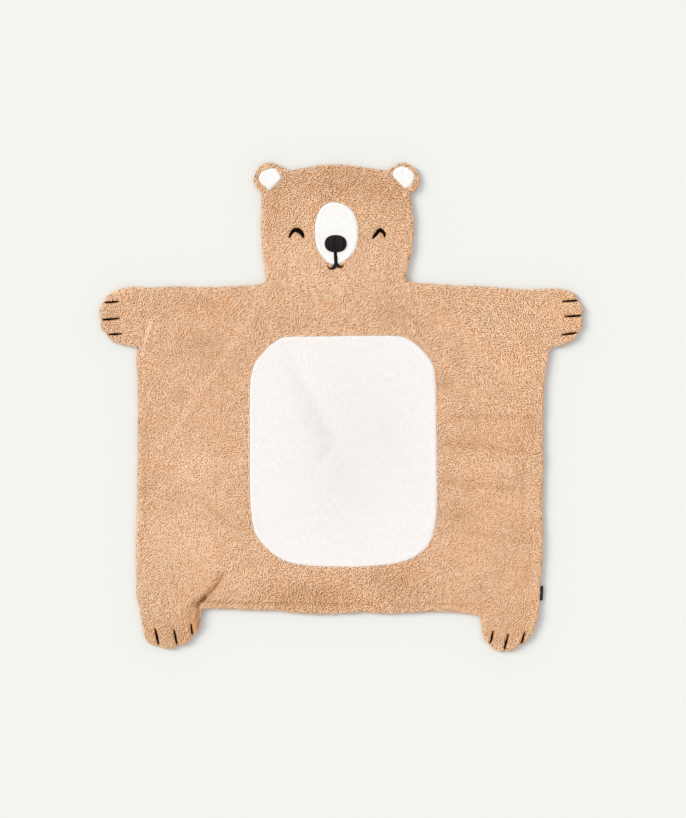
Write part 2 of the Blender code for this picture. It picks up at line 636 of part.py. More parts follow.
def make_label(material):
    """A folded tab that stands out of the right side seam, with a rounded fold."""
    ys = np.linspace(LABEL_BOTTOM, LABEL_TOP, 4)
    low, high = LABEL_BOTTOM - 2 * SEAM_STEP, LABEL_TOP + 2 * SEAM_STEP
    side = sorted((y, x) for x, y in SEAM if x > 0 and low < y < high)
    seam_x = np.interp(ys, [y for y, _ in side], [x for _, x in side])
    half = LABEL_THICKNESS / 2
    bm = bmesh.new()
    profile = ((GAP, -half), (LABEL_REACH - half, -half), (LABEL_REACH, 0.0),
               (LABEL_REACH - half, half), (GAP, half))
    rows = []
    for x, y in zip(seam_x, ys):
        rows.append([bm.verts.new((x + out, y, SEAM_HEIGHT + up)) for out, up in profile])
    for row, next_row in zip(rows, rows[1:]):
        for i in range(len(profile)):
            j = (i + 1) % len(profile)
            bm.faces.new((row[i], row[j], next_row[j], next_row[i]))
    bm.faces.new(rows[0])
    bm.faces.new(rows[-1])
    bmesh.ops.triangulate(bm, faces=bm.faces)
    add_object("side_label", bm, material)


def main():
    for obj in list(bpy.data.objects):
        bpy.data.objects.remove(obj)
    materials = {name: make_material(name) for name in MATERIALS}
    points, triangles = top_plan().triangles()
    make_fleece(points, triangles, materials["fleece_camel"])
    for inlay in INLAYS:
        make_slab(inlay, points, triangles, materials[inlay.material])
    make_label(materials["label_black"])


SEAM = seam_loop()
INLAYS = make_inlays()
main()
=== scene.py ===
"""Looks of a bear-shaped play rug: curly fleece, plush patches, satin stitching and a label.

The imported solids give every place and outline. Each operator below makes one group of pieces
around them, in metres, in the solids' own frame: +Z up, +Y towards the head.
"""

import math

import bmesh
import bpy
import numpy as np
from bpy.props import FloatProperty, FloatVectorProperty, IntProperty, PointerProperty
from mathutils import Matrix, Vector
from mathutils.bvhtree import BVHTree
from mathutils.kdtree import KDTree


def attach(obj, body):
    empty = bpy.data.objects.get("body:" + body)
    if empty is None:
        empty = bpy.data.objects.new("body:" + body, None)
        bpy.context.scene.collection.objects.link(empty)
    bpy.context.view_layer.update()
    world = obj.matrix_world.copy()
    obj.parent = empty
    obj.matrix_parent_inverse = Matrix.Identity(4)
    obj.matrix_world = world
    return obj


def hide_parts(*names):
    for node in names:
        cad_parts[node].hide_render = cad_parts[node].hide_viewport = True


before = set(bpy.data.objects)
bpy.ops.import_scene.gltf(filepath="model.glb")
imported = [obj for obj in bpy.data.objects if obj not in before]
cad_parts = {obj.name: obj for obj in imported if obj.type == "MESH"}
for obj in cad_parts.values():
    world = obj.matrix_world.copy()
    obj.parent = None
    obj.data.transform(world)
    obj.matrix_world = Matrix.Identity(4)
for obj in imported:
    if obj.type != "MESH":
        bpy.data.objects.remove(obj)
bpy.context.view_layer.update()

bl_info = {
    "name": "Bear Play Rug",
    "version": (1, 0, 0),
    "blender": (4, 5, 0),
    "location": "3D View > Sidebar > Play Rug",
    "description": "Fleece, patches and stitching for a bear-shaped play rug",
    "category": "Object",
}

BODY = "root"

PATCHES = ("belly_patch", "muzzle_patch", "ear_patch_left", "ear_patch_right")
EYES = ("eye_stitch_left", "eye_stitch_right")
NOSE = "nose_stitch"
MOUTH = "mouth_stitch"
CLAWS = tuple(
    f"claw_stitch_{paw}_{number}"
    for paw in ("front_left", "front_right", "hind_left", "hind_right")
    for number in (1, 2, 3)
)

SUN_DIRECTION = (0.76, -0.31, -0.57)
MERGE = 1e-6
UP_FACE = 0.2  # a face counts as upper when its normal's z is above this
WAVE_COUNT = 7
WAVE_SPREAD = (0.7, 1.5)  # the shortest and the longest wave, as shares of the wavelength


# Settings

class FleeceSettings(bpy.types.PropertyGroup):
    curl_length: FloatProperty(
        name="Curl length", description="Length of one tuft of the fleece along its bend",
        default=0.0072, unit="LENGTH")
    curl_width: FloatProperty(
        name="Curl width", description="Width of one tuft", default=0.0032, unit="LENGTH")
    curl_height: FloatProperty(
        name="Curl height", description="Height of one tuft", default=0.0018, unit="LENGTH")
    curl_spacing: FloatProperty(
        name="Curl spacing", description="Least distance between the middles of two tufts",
        default=0.0031, unit="LENGTH")
    pile_depth: FloatProperty(
        name="Pile depth", description="How far the ground cloth lies below the pile's top",
        default=0.0019, unit="LENGTH")
    pile_colour: FloatVectorProperty(
        name="Pile colour", description="Colour of the curls where light reaches them",
        default=(0.690, 0.473, 0.313), subtype="COLOR")
    # Painted shade: low in the pile the curls darken towards this colour, and the ground cloth
    # between them takes it.
    painted_gap_shade: FloatVectorProperty(
        name="Gap colour", description="Colour between the curls",
        default=(0.660, 0.338, 0.150), subtype="COLOR")
    backing_colour: FloatVectorProperty(
        name="Backing colour", description="Colour of the woven underside",
        default=(0.62, 0.42, 0.27), subtype="COLOR")
    seed: IntProperty(name="Seed", description="Seed of the curls' places and bends", default=11)


class PlushSettings(bpy.types.PropertyGroup):
    colour: FloatVectorProperty(
        name="Plush colour", description="Colour of the muzzle's and ears' short plush",
        default=(0.684, 0.674, 0.648), subtype="COLOR")
    belly_colour: FloatVectorProperty(
        name="Belly colour", description="Colour of the belly's short plush",
        default=(0.674, 0.644, 0.620), subtype="COLOR")
    turned_edge: FloatProperty(
        name="Turned edge", description="Width of the allowance turned under a patch's edge",
        default=0.0085, unit="LENGTH")
    turned_rise: FloatProperty(
        name="Turned rise", description="How much the turned edge stands above the patch",
        default=0.0005, unit="LENGTH")


class SatinSettings(bpy.types.PropertyGroup):
    colour: FloatVectorProperty(
        name="Thread colour", description="Colour of the satin stitch thread",
        default=(0.0022, 0.0018, 0.0019), subtype="COLOR")
    # Paler than the eyes' and claws' thread, as painted sheen of the satin nose and mouth.
    nose_colour: FloatVectorProperty(
        name="Nose colour", description="Colour of the nose's shinier thread",
        default=(0.0135, 0.0098, 0.0112), subtype="COLOR")
    thread: FloatProperty(
        name="Thread diameter", description="Diameter of one satin stitch thread",
        default=0.00046, unit="LENGTH")
    pitch: FloatProperty(
        name="Stitch pitch", description="Distance from one thread to the next",
        default=0.00036, unit="LENGTH")


class LabelSettings(bpy.types.PropertyGroup):
    colour: FloatVectorProperty(
        name="Label colour", description="Colour of the woven side label",
        default=(0.010, 0.010, 0.010), subtype="COLOR")


class StageSettings(bpy.types.PropertyGroup):
    floor_colour: FloatVectorProperty(
        name="Floor colour", description="Colour of the plain floor",
        default=(0.630, 0.629, 0.598), subtype="COLOR")
    sun_strength: FloatProperty(
        name="Light strength", description="Strength of the soft key light", default=2.67)
    sky_strength: FloatProperty(
        name="Fill strength", description="Strength of the even light from all sides",
        default=1.023)
    camera_height: FloatProperty(
        name="Camera height", description="Height of the camera above the floor",
        default=5.0, unit="LENGTH")
    view_height: FloatProperty(
        name="View height", description="Height of what the picture shows, at the pile",
        default=1.693, unit="LENGTH")


# Outlines in the plan, read from the solids

def merged(node):
    """A copy of a solid with its loose triangles joined."""
    bm = bmesh.new()
    bm.from_mesh(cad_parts[node].data)
    bmesh.ops.remove_doubles(bm, verts=bm.verts, dist=MERGE)
    bm.normal_update()
    return bm


def rim_edges(bm):
    """The edges where a solid's upper faces end."""
    return [
        edge for edge in bm.edges
        if len(edge.link_faces) == 2
        and sum(face.normal.z > UP_FACE for face in edge.link_faces) == 1
    ]


def plan_area(loop):
    """Area within an ordered loop of points, less than 0 where the loop runs clockwise."""
    x, y = loop[:, 0], loop[:, 1]
    return float((x * np.roll(y, -1) - np.roll(x, -1) * y).sum() / 2)


def outline(node):
    """A solid's outline seen from above, as an ordered anticlockwise loop of points."""
    bm = merged(node)
    links = {}
    for edge in rim_edges(bm):
        a, b = edge.verts
        links.setdefault(a, []).append(b)
        links.setdefault(b, []).append(a)
    start = next(iter(links))
    loop, before, here = [start], None, start
    while True:
        onward = [vert for vert in links[here] if vert is not before][0]
        if onward is start:
            break
        loop.append(onward)
        before, here = here, onward
    points = np.array([tuple(vert.co) for vert in loop])
    bm.free()
    return points if plan_area(points) > 0 else points[::-1]


def inside(points, loop):
    """Which points lie inside a closed loop, seen from above."""
    x, y = points[:, 0], points[:, 1]
    within = np.zeros(len(points), bool)
    for (xa, ya), (xb, yb) in zip(loop[:, :2], np.roll(loop[:, :2], -1, 0)):
        if ya != yb:
            crosses = (ya > y) != (yb > y)
            within ^= crosses & (x < (xb - xa) * (y - ya) / (yb - ya) + xa)
    return within


def to_line(points, line, closed=True):
    """Distance of points to a line in the plan, with the line's direction at the nearest place."""
    starts = line[:, :2] if closed else line[:-1, :2]
    ends = np.roll(line[:, :2], -1, 0) if closed else line[1:, :2]
    best = np.full(len(points), np.inf)
    heading = np.zeros((len(points), 2))
    for start, end in zip(starts, ends):
        span = end - start
        length = np.hypot(*span)
        if length < MERGE:
            continue
        t = np.clip(((points[:, :2] - start) @ span) / length ** 2, 0.0, 1.0)
        away = np.hypot(*(points[:, :2] - start - t[:, None] * span).T)
        closer = away < best
        best[closer] = away[closer]
        heading[closer] = span / length
    return best, heading


def smooth_step(values, low, high):
    """0 up to low, 1 from high on, and a smooth rise between them."""
    t = np.clip((values - low) / (high - low), 0.0, 1.0)
    return t * t * (3 - 2 * t)


def unit(vectors):
    return vectors / np.linalg.norm(vectors, axis=1)[:, None]


def waves(points, wavelength, seed):
    """A smooth uneven field over the plan, from about -1 to 1, as a sum of crossing waves."""
    rng = np.random.default_rng(seed)
    total = np.zeros(len(points))
    for _ in range(WAVE_COUNT):
        turn = rng.uniform(0, 2 * math.pi)
        number = 2 * math.pi / (wavelength * rng.uniform(*WAVE_SPREAD))
        along = points[:, 0] * math.cos(turn) + points[:, 1] * math.sin(turn)
        total += np.sin(along * number + rng.uniform(0, 2 * math.pi))
    return total / math.sqrt(WAVE_COUNT)


def uneven(points, rows, start=0.0):
    """A start value with waves on it. Columns of rows: height, wavelength, seed."""
    return sum((height * waves(points, *wave) for height, *wave in rows), start)


def area_away(points, x, y, half_width, half_height, lean=0.0):
    """Square of the distance from an area's middle, counted in its half width and height."""
    up = points[:, 1] - y
    return ((points[:, 0] - x + lean * up) / half_width) ** 2 + (up / half_height) ** 2


def crease_share(points, line, half_width):
    """How much of a crease is at points of the plan, 1 on its line."""
    away, _ = to_line(points, np.array(line), closed=False)
    return np.exp(-(away / half_width) ** 2)


def short_and_long(loop):
    """The two directions of an outline in the plan, the shorter one first."""
    flat = loop[:, :2] - loop[:, :2].mean(0)
    return np.linalg.eigh(flat.T @ flat)[1].T


def drawn_out(loop, reach):
    """A long outline with its end nearest the seam drawn out."""
    _, direction = short_and_long(loop)
    along = (loop[:, :2] - loop[:, :2].mean(0)) @ direction
    from_seam, _ = to_line(loop, SEAM)
    side = np.sign(along[from_seam.argmin()])
    share = smooth_step(side * along / np.abs(along).max(), 0.2, 1.0)
    drawn = loop.copy()
    drawn[:, :2] += share[:, None] * side * reach * direction
    return drawn


# How far the claws' stitches run over the rim, beyond the solids.
CLAW_REACH = {"front_left": 0.0016, "front_right": 0.0028,
              "hind_left": 0.0018, "hind_right": 0.0025}

SEAM = outline("fleece_body")
OUTLINES = {node: outline(node) for node in (*PATCHES, *EYES, NOSE, MOUTH)}
for paw, reach in CLAW_REACH.items():
    OUTLINES.update({node: drawn_out(outline(node), reach) for node in CLAWS if paw in node})


# Meshes

def as_mesh(name, bm):
    mesh = bpy.data.meshes.new(name)
    bm.to_mesh(mesh)
    bm.free()
    return mesh


def new_object(name, data):
    thing = bpy.data.objects.new(name, data)
    bpy.context.scene.collection.objects.link(thing)
    return thing


def smooth_form(node, levels):
    """A solid's form after Subdivision Surface, without facets and with its outline kept."""
    bm = merged(node)
    crease = bm.edges.layers.float.new("crease_edge")
    for edge in rim_edges(bm):
        edge[crease] = 1.0
    mesh = as_mesh("working", bm)
    working = new_object("working", mesh)
    modifier = working.modifiers.new("smooth", "SUBSURF")
    modifier.levels = modifier.render_levels = levels
    graph = bpy.context.evaluated_depsgraph_get()
    finer = bmesh.new()
    finer.from_mesh(working.evaluated_get(graph).to_mesh())
    bpy.data.objects.remove(working)
    bpy.data.meshes.remove(mesh)
    finer.normal_update()
    return finer


def add_piece(name, mesh, materials):
    for material in materials:
        mesh.materials.append(material)
    piece = new_object(name, mesh)
    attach(piece, BODY)
    return piece


def add_bmesh_piece(name, bm, materials):
    mesh = as_mesh(name, bm)
    mesh.shade_smooth()
    return add_piece(name, mesh, materials)


class Tube:
    """A closed tube with round ends, modelled once: where its points lie along and around it."""

    def __init__(self, sides, segments, turn=90):
        bm = bmesh.new()
        bmesh.ops.create_uvsphere(bm, u_segments=sides, v_segments=segments, radius=0.5)
        bmesh.ops.rotate(bm, verts=bm.verts, matrix=Matrix.Rotation(math.radians(turn), 3, "Z"))
        bm.verts.ensure_lookup_table()
        self.along = np.array([vert.co.z for vert in bm.verts])
        flat = np.array([(vert.co.x, vert.co.y) for vert in bm.verts])
        reach = np.hypot(*flat.T)
        self.pole = reach < MERGE
        self.around = flat / np.where(self.pole, 1.0, reach)[:, None]
        # Sorted, because the operator lists a sphere's faces in another order each run.
        self.corners = sorted([vert.index for vert in face.verts] for face in bm.faces)
        bm.free()
        self.stations = np.unique(self.along.round(5))
        self.station = np.abs(self.along[:, None] - self.stations).argmin(1)


def repeated_mesh(name, tube, places):
    """One mesh of many tubes. places holds each copy's points."""
    copies, size = places.shape[:2]
    loops = np.concatenate(tube.corners)
    totals = np.array([len(corners) for corners in tube.corners])
    offsets = (np.arange(copies) * size)[:, None]
    mesh = bpy.data.meshes.new(name)
    mesh.vertices.add(copies * size)
    mesh.vertices.foreach_set("co", places.astype(np.float32).ravel())
    mesh.loops.add(copies * len(loops))
    mesh.loops.foreach_set("vertex_index", (loops[None] + offsets).ravel().astype(np.int32))
    mesh.polygons.add(copies * len(totals))
    every = np.tile(totals, copies)
    mesh.polygons.foreach_set("loop_start", (np.cumsum(every) - every).astype(np.int32))
    mesh.update(calc_edges=True)
    mesh.shade_smooth()
    return mesh


def set_attribute(mesh, name, values):
    attribute = mesh.attributes.new(name, "FLOAT", "POINT")
    attribute.data.foreach_set("value", np.asarray(values, np.float32).ravel())


def set_tube_uv(mesh, tube, shift):
    """u runs round each tube and v along it, with a shift of its own for each copy."""
    turn = np.arctan2(tube.around[:, 1], tube.around[:, 0]) / (2 * math.pi)
    u, v = [], []
    for corners in tube.corners:
        turns = turn[corners]
        body = turns[~tube.pole[corners]]
        base = body[0]
        fixed = base + (turns - base + 0.5) % 1.0 - 0.5
        middle = (base + (body - base + 0.5) % 1.0 - 0.5).mean()
        u.append(np.where(tube.pole[corners], middle, fixed))
        v.append(tube.along[corners])
    pair = np.stack([np.concatenate(u), np.concatenate(v)], 1)
    layer = mesh.uv_layers.new(name="thread")
    layer.data.foreach_set("uv", (pair[None] + shift[:, None]).astype(np.float32).ravel())


# Materials

class Nodes:
    """A short way to write a node tree."""

    def __init__(self, name):
        self.material = bpy.data.materials.new(name)
        self.material.use_nodes = True
        self.tree = self.material.node_tree
        self.shader = self.tree.nodes["Principled BSDF"]

    def add(self, kind, links=(), **settings):
        node = self.tree.nodes.new(kind)
        for key, value in settings.items():
            setattr(node, key, value)
        for socket, source in dict(links).items():
            self.put(node, socket, source)
        return node

    def put(self, node, socket, source):
        """Set a socket to a value, or link it to another node's output."""
        target = node.inputs[socket]
        if isinstance(source, bpy.types.NodeSocket):
            self.tree.links.new(source, target)
        else:
            target.default_value = source

    def shade(self, **links):
        for socket, source in links.items():
            self.put(self.shader, socket.replace("_", " "), source)

    def place(self):
        return self.add("ShaderNodeTexCoord").outputs["Object"]

    def along_thread(self):
        return self.add("ShaderNodeUVMap", uv_map="thread").outputs[0]

    def stretched(self, vector, scale):
        return self.add("ShaderNodeMapping", {"Vector": vector, "Scale": scale}).outputs[0]

    def channels(self, red, green, blue):
        node = self.add("ShaderNodeCombineColor", {"Red": red, "Green": green, "Blue": blue})
        return node.outputs[0]

    def noise(self, vector, scale, detail=2.0, roughness=0.5):
        node = self.add("ShaderNodeTexNoise", {
            "Vector": vector, "Scale": scale, "Detail": detail, "Roughness": roughness})
        return node.outputs["Fac"]

    def number(self, operation, a, b=0.0):
        return self.add("ShaderNodeMath", {0: a, 1: b}, operation=operation).outputs[0]

    def product(self, a, b):
        return self.number("MULTIPLY", a, b)

    def span(self, value, low, high, to_low=0.0, to_high=1.0):
        node = self.add("ShaderNodeMapRange", {
            "Value": value, "From Min": low, "From Max": high,
            "To Min": to_low, "To Max": to_high})
        return node.outputs["Result"]

    def blend(self, share, first, second, blend_type="MIX"):
        node = self.add("ShaderNodeMix", {0: share, 6: first, 7: second},
                        data_type="RGBA", blend_type=blend_type)
        return node.outputs[2]

    def attribute(self, name):
        return self.add("ShaderNodeAttribute", attribute_name=name).outputs["Fac"]

    def bump(self, height, distance, strength=1.0, normal=None):
        links = {"Height": height, "Distance": distance, "Strength": strength}
        if normal is not None:
            links["Normal"] = normal
        return self.add("ShaderNodeBump", links).outputs["Normal"]


def colour(values, factor=1.0):
    """A colour for a socket, times a factor or times one factor for each channel."""
    return (*np.multiply(values, factor), 1.0)


# How the fleece's colour changes, for red, green and blue.
# Columns: spread from curl to curl; powers of the cloth's painted shade and of the rim's painted
# light and shade.
FLEECE_CHANNELS = ((0.11, 1.0, 1.3), (0.18, 1.4, 1.0), (0.29, 1.9, 0.4))
TINT_REACH = 2.0  # the curls' tint runs from this far below 0 to this far above it
SMOOTH_GAP = 1.2  # brightness of the painted shade in the gaps between the curls where the pile is smooth
ROUGH_GAP = 0.58  # and where it is rough
LIT_DEPTH = 0.58  # curls have no painted shade from this height in the pile up, as a share of it
WARM_PILE = (0.86, 0.50, 0.30)


def curl_material(settings):
    """Curled pile: painted shade low down, painted light and shade from creases and the rim,
    uneven from curl to curl, with fibres along each one.
    """
    nodes = Nodes("curled_fleece")
    place = nodes.place()
    # Painted shade: low in the pile the curls take the gap shade, darker where the pile is rough.
    low = nodes.blend(nodes.attribute("rough"), colour(settings.painted_gap_shade, SMOOTH_GAP),
                      colour(settings.painted_gap_shade, ROUGH_GAP))
    lit = nodes.blend(nodes.span(nodes.attribute("depth"), 0.0, LIT_DEPTH), low,
                      colour(settings.pile_colour))
    # Painted light and shade: the shade attribute darkens the pile in creases and folds and
    # lightens it on ridges; the rim attribute darkens the rim where it faces the light and
    # lightens it where it faces away.
    tint, shade, rim = (nodes.attribute(name) for name in ("tint", "shade", "rim"))
    shares = []
    for spread, shade_power, rim_power in FLEECE_CHANNELS:
        tinted = nodes.span(tint, -TINT_REACH, TINT_REACH, 1 - spread, 1 + spread)
        laid = nodes.product(nodes.number("POWER", shade, shade_power),
                             nodes.number("POWER", rim, rim_power))
        shares.append(nodes.product(tinted, laid))
    toned = nodes.blend(1.0, lit, nodes.channels(*shares), "MULTIPLY")
    warm = nodes.span(nodes.noise(place, 9.0, 3.0), 0.35, 0.65)
    toned = nodes.blend(nodes.product(warm, 0.22), toned, colour(WARM_PILE))
    fibres = nodes.stretched(nodes.along_thread(), (9.0, 2.2, 1.0))
    strands = nodes.noise(fibres, 3.0, 4.0, 0.62)
    fluff = nodes.noise(place, 1500.0, 3.0, 0.6)
    normal = nodes.bump(strands, 0.0002, 0.7)
    normal = nodes.bump(fluff, 0.0001, 0.5, normal)
    toned = nodes.blend(nodes.span(strands, 0.3, 0.75, 0.20, 0.0), toned,
                        colour(settings.painted_gap_shade))
    nodes.shade(Base_Color=toned, Roughness=0.95, Normal=normal,
                Sheen_Weight=0.1, Sheen_Roughness=0.5, Sheen_Tint=(1.0, 0.80, 0.60, 1.0),
                Specular_IOR_Level=0.08)
    return nodes.material


def ground_material(settings):
    """The ground cloth that the curls stand in: dense short fibres, seen between the curls, in the
    colour of the painted gap shade.
    """
    nodes = Nodes("fleece_ground")
    place = nodes.place()
    tufts = nodes.add("ShaderNodeTexVoronoi", {"Vector": place, "Scale": 330.0},
                      feature="SMOOTH_F1").outputs["Distance"]
    fluff = nodes.noise(place, 900.0, 4.0, 0.6)
    # Painted shade: the ground cloth, seen only between the curls, takes the gap shade.
    ground = nodes.blend(nodes.span(tufts, 0.1, 0.6), colour(settings.painted_gap_shade),
                         colour(settings.painted_gap_shade, 0.8))
    normal = nodes.bump(fluff, 0.0004, 0.7)
    nodes.shade(Base_Color=ground, Roughness=1.0, Normal=normal, Specular_IOR_Level=0.05)
    return nodes.material


def weave(nodes, place, threads_per_metre):
    """Height of a plain weave, from 0 to 1."""
    turns = 2 * math.pi * threads_per_metre
    axes = nodes.add("ShaderNodeSeparateXYZ", {0: place}).outputs
    across, along = (nodes.number("SINE", nodes.product(axes[axis], turns)) for axis in "XY")
    return nodes.span(nodes.product(across, along), -1.0, 1.0)


def backing_material(settings):
    """Plain woven cloth with slubs, seen from below."""
    nodes = Nodes("woven_backing")
    place = nodes.place()
    cloth = weave(nodes, place, threads_per_metre=620.0)
    slubs = nodes.noise(place, 55.0, 4.0)
    base = nodes.blend(nodes.span(cloth, 0.1, 0.9), colour(settings.backing_colour, 0.6),
                       colour(settings.backing_colour))
    base = nodes.blend(nodes.span(slubs, 0.3, 0.7, 0.0, 0.3), base,
                       colour(settings.backing_colour, 0.75))
    nodes.shade(Base_Color=base, Roughness=0.9, Normal=nodes.bump(cloth, 0.0004, 0.7),
                Specular_IOR_Level=0.2)
    return nodes.material


def plush_material(name, base_colour):
    """Short brushed plush: a soft nap with faint strokes and a fine fuzz, with painted shade over
    the belly's sunken middle and fold.
    """
    nodes = Nodes(name)
    place = nodes.place()
    nap = nodes.noise(nodes.stretched(place, (1.0, 0.35, 1.0)), 230.0, 4.0, 0.6)
    cloud = nodes.noise(place, 14.0, 3.0)
    fuzz = nodes.noise(place, 2400.0, 2.0)
    base = nodes.blend(nodes.span(nap, 0.3, 0.7), colour(base_colour, 1.05),
                       colour(base_colour, (0.94, 0.93, 0.92)))
    base = nodes.blend(nodes.span(cloud, 0.35, 0.65, 0.0, 0.5), base,
                       colour(base_colour, (1.00, 0.98, 0.97)))
    # Painted shade over the belly's sunken middle and fold, with the nap's uneven tone.
    tone_and_painted_light = nodes.attribute("tone_and_painted_light")
    base = nodes.blend(1.0, base, nodes.channels(tone_and_painted_light, tone_and_painted_light, tone_and_painted_light), "MULTIPLY")
    normal = nodes.bump(nap, 0.0003, 0.5)
    normal = nodes.bump(fuzz, 0.0001, 0.5, normal)
    nodes.shade(Base_Color=base, Roughness=0.9, Normal=normal, Specular_IOR_Level=0.15,
                Sheen_Weight=0.2, Sheen_Roughness=0.4)
    return nodes.material


PLIES = 2
TWIST = 34.0  # how far the twist's pattern runs from end to end of a stitch, in radians


def thread_material(name, base_colour, roughness, specular):
    """Two-ply thread: a fine twist round each stitch with painted shade between its plies, in
    bands of darker thread and of paler thread that paint its sheen.
    """
    nodes = Nodes(name)
    uv = nodes.add("ShaderNodeSeparateXYZ", {0: nodes.along_thread()}).outputs
    turn = nodes.number("ADD", nodes.product(uv["X"], 2 * math.pi * PLIES),
                        nodes.product(uv["Y"], TWIST))
    twist = nodes.span(nodes.number("SINE", turn), -1.0, 1.0)
    drawn = nodes.stretched(nodes.place(), (1.0, 0.05, 1.0))
    # Painted sheen: paler bands across the satin.
    painted_sheen = nodes.span(nodes.noise(drawn, 280.0, 2.0), 0.35, 0.65)
    tone_and_painted_light = nodes.blend(painted_sheen, colour(base_colour, 0.3), colour(base_colour, 1.75))
    # Painted shade between the plies of the twist.
    tone_and_painted_light = nodes.blend(nodes.span(twist, 0.0, 0.6, 0.35, 0.0), tone_and_painted_light, colour(base_colour, 0.5))
    nodes.shade(Base_Color=tone_and_painted_light, Roughness=roughness, Specular_IOR_Level=specular,
                Normal=nodes.bump(twist, 0.0001, 0.6))
    return nodes.material


def label_material(settings):
    nodes = Nodes("label_tape")
    cloth = weave(nodes, nodes.place(), threads_per_metre=1100.0)
    base = nodes.blend(cloth, colour(settings.colour, 0.6), colour(settings.colour))
    nodes.shade(Base_Color=base, Roughness=0.6, Normal=nodes.bump(cloth, 0.0002, 0.7),
                Specular_IOR_Level=0.35)
    return nodes.material


def floor_material(settings):
    nodes = Nodes("plain_floor")
    nodes.shade(Base_Color=colour(settings.floor_colour), Roughness=0.9, Specular_IOR_Level=0.1)
    return nodes.material


# The fleece

# Where the pile is rougher or smoother, and lighter or darker, than elsewhere: partly the pile's
# own tone, partly painted shade of folds and hollows and painted light on rises.
# Columns: middle x, y; half width, half height; roughness from 0 to 1; shade.
PILE_AREAS = (
    (0.000, 0.190, 0.400, 0.060, 0.90, 0.0),
    (-0.003, 0.205, 0.130, 0.050, 0.95, 0.02),
    (-0.108, 0.315, 0.045, 0.045, 0.55, 0.10),
    (-0.300, 0.045, 0.110, 0.070, 0.60, 0.03),
    (0.320, 0.045, 0.110, 0.060, 0.50, 0.03),
    (0.365, -0.360, 0.040, 0.050, 0.40, -0.05),
    (-0.360, -0.475, 0.060, 0.030, 0.10, -0.14),
    (0.345, -0.465, 0.060, 0.045, 0.10, -0.08),
    (0.450, 0.190, 0.040, 0.050, 0.10, -0.02),
    (0.000, -0.412, 0.300, 0.020, 0.80, -0.08),
    (-0.300, -0.090, 0.120, 0.210, 0.30, 0.0),
    (0.330, -0.080, 0.120, 0.250, 0.45, -0.035),
    (-0.003, 0.464, 0.137, 0.040, 0.80, -0.14),
    (0.102, 0.437, 0.042, 0.048, 0.80, -0.10),
    (-0.142, 0.416, 0.019, 0.048, 0.70, -0.10),
    (-0.014, 0.268, 0.105, 0.042, 0.45, 0.07),
    (0.071, 0.316, 0.032, 0.026, 0.40, 0.06),
    (0.102, 0.189, 0.034, 0.019, 0.70, -0.12),
    (-0.293, 0.215, 0.048, 0.016, 0.70, -0.10),
    (-0.299, 0.136, 0.032, 0.023, 0.60, -0.08),
    (-0.256, 0.078, 0.048, 0.063, 0.60, -0.06),
    (-0.336, 0.025, 0.023, 0.017, 0.70, -0.10),
    (-0.309, -0.122, 0.055, 0.050, 0.10, 0.12),
    (-0.325, -0.270, 0.085, 0.068, 0.00, 0.11),
    (-0.402, -0.143, 0.015, 0.116, 0.60, -0.08),
    (-0.061, -0.384, 0.100, 0.025, 0.75, -0.21),
    (0.113, -0.358, 0.065, 0.037, 0.70, -0.16),
    (-0.204, -0.365, 0.040, 0.026, 0.20, 0.06),
    (0.055, -0.384, 0.019, 0.026, 0.40, 0.10),
    (0.219, 0.052, 0.017, 0.013, 0.90, -0.18),
    (0.242, -0.075, 0.040, 0.015, 0.80, -0.14),
    (0.314, -0.128, 0.058, 0.019, 0.20, 0.10),
    (0.234, -0.223, 0.034, 0.014, 0.80, -0.12),
    (0.393, -0.027, 0.013, 0.034, 0.70, -0.10),
    (0.324, 0.131, 0.084, 0.053, 0.30, 0.04),
    (-0.308, -0.440, 0.020, 0.034, 0.60, -0.19),
)
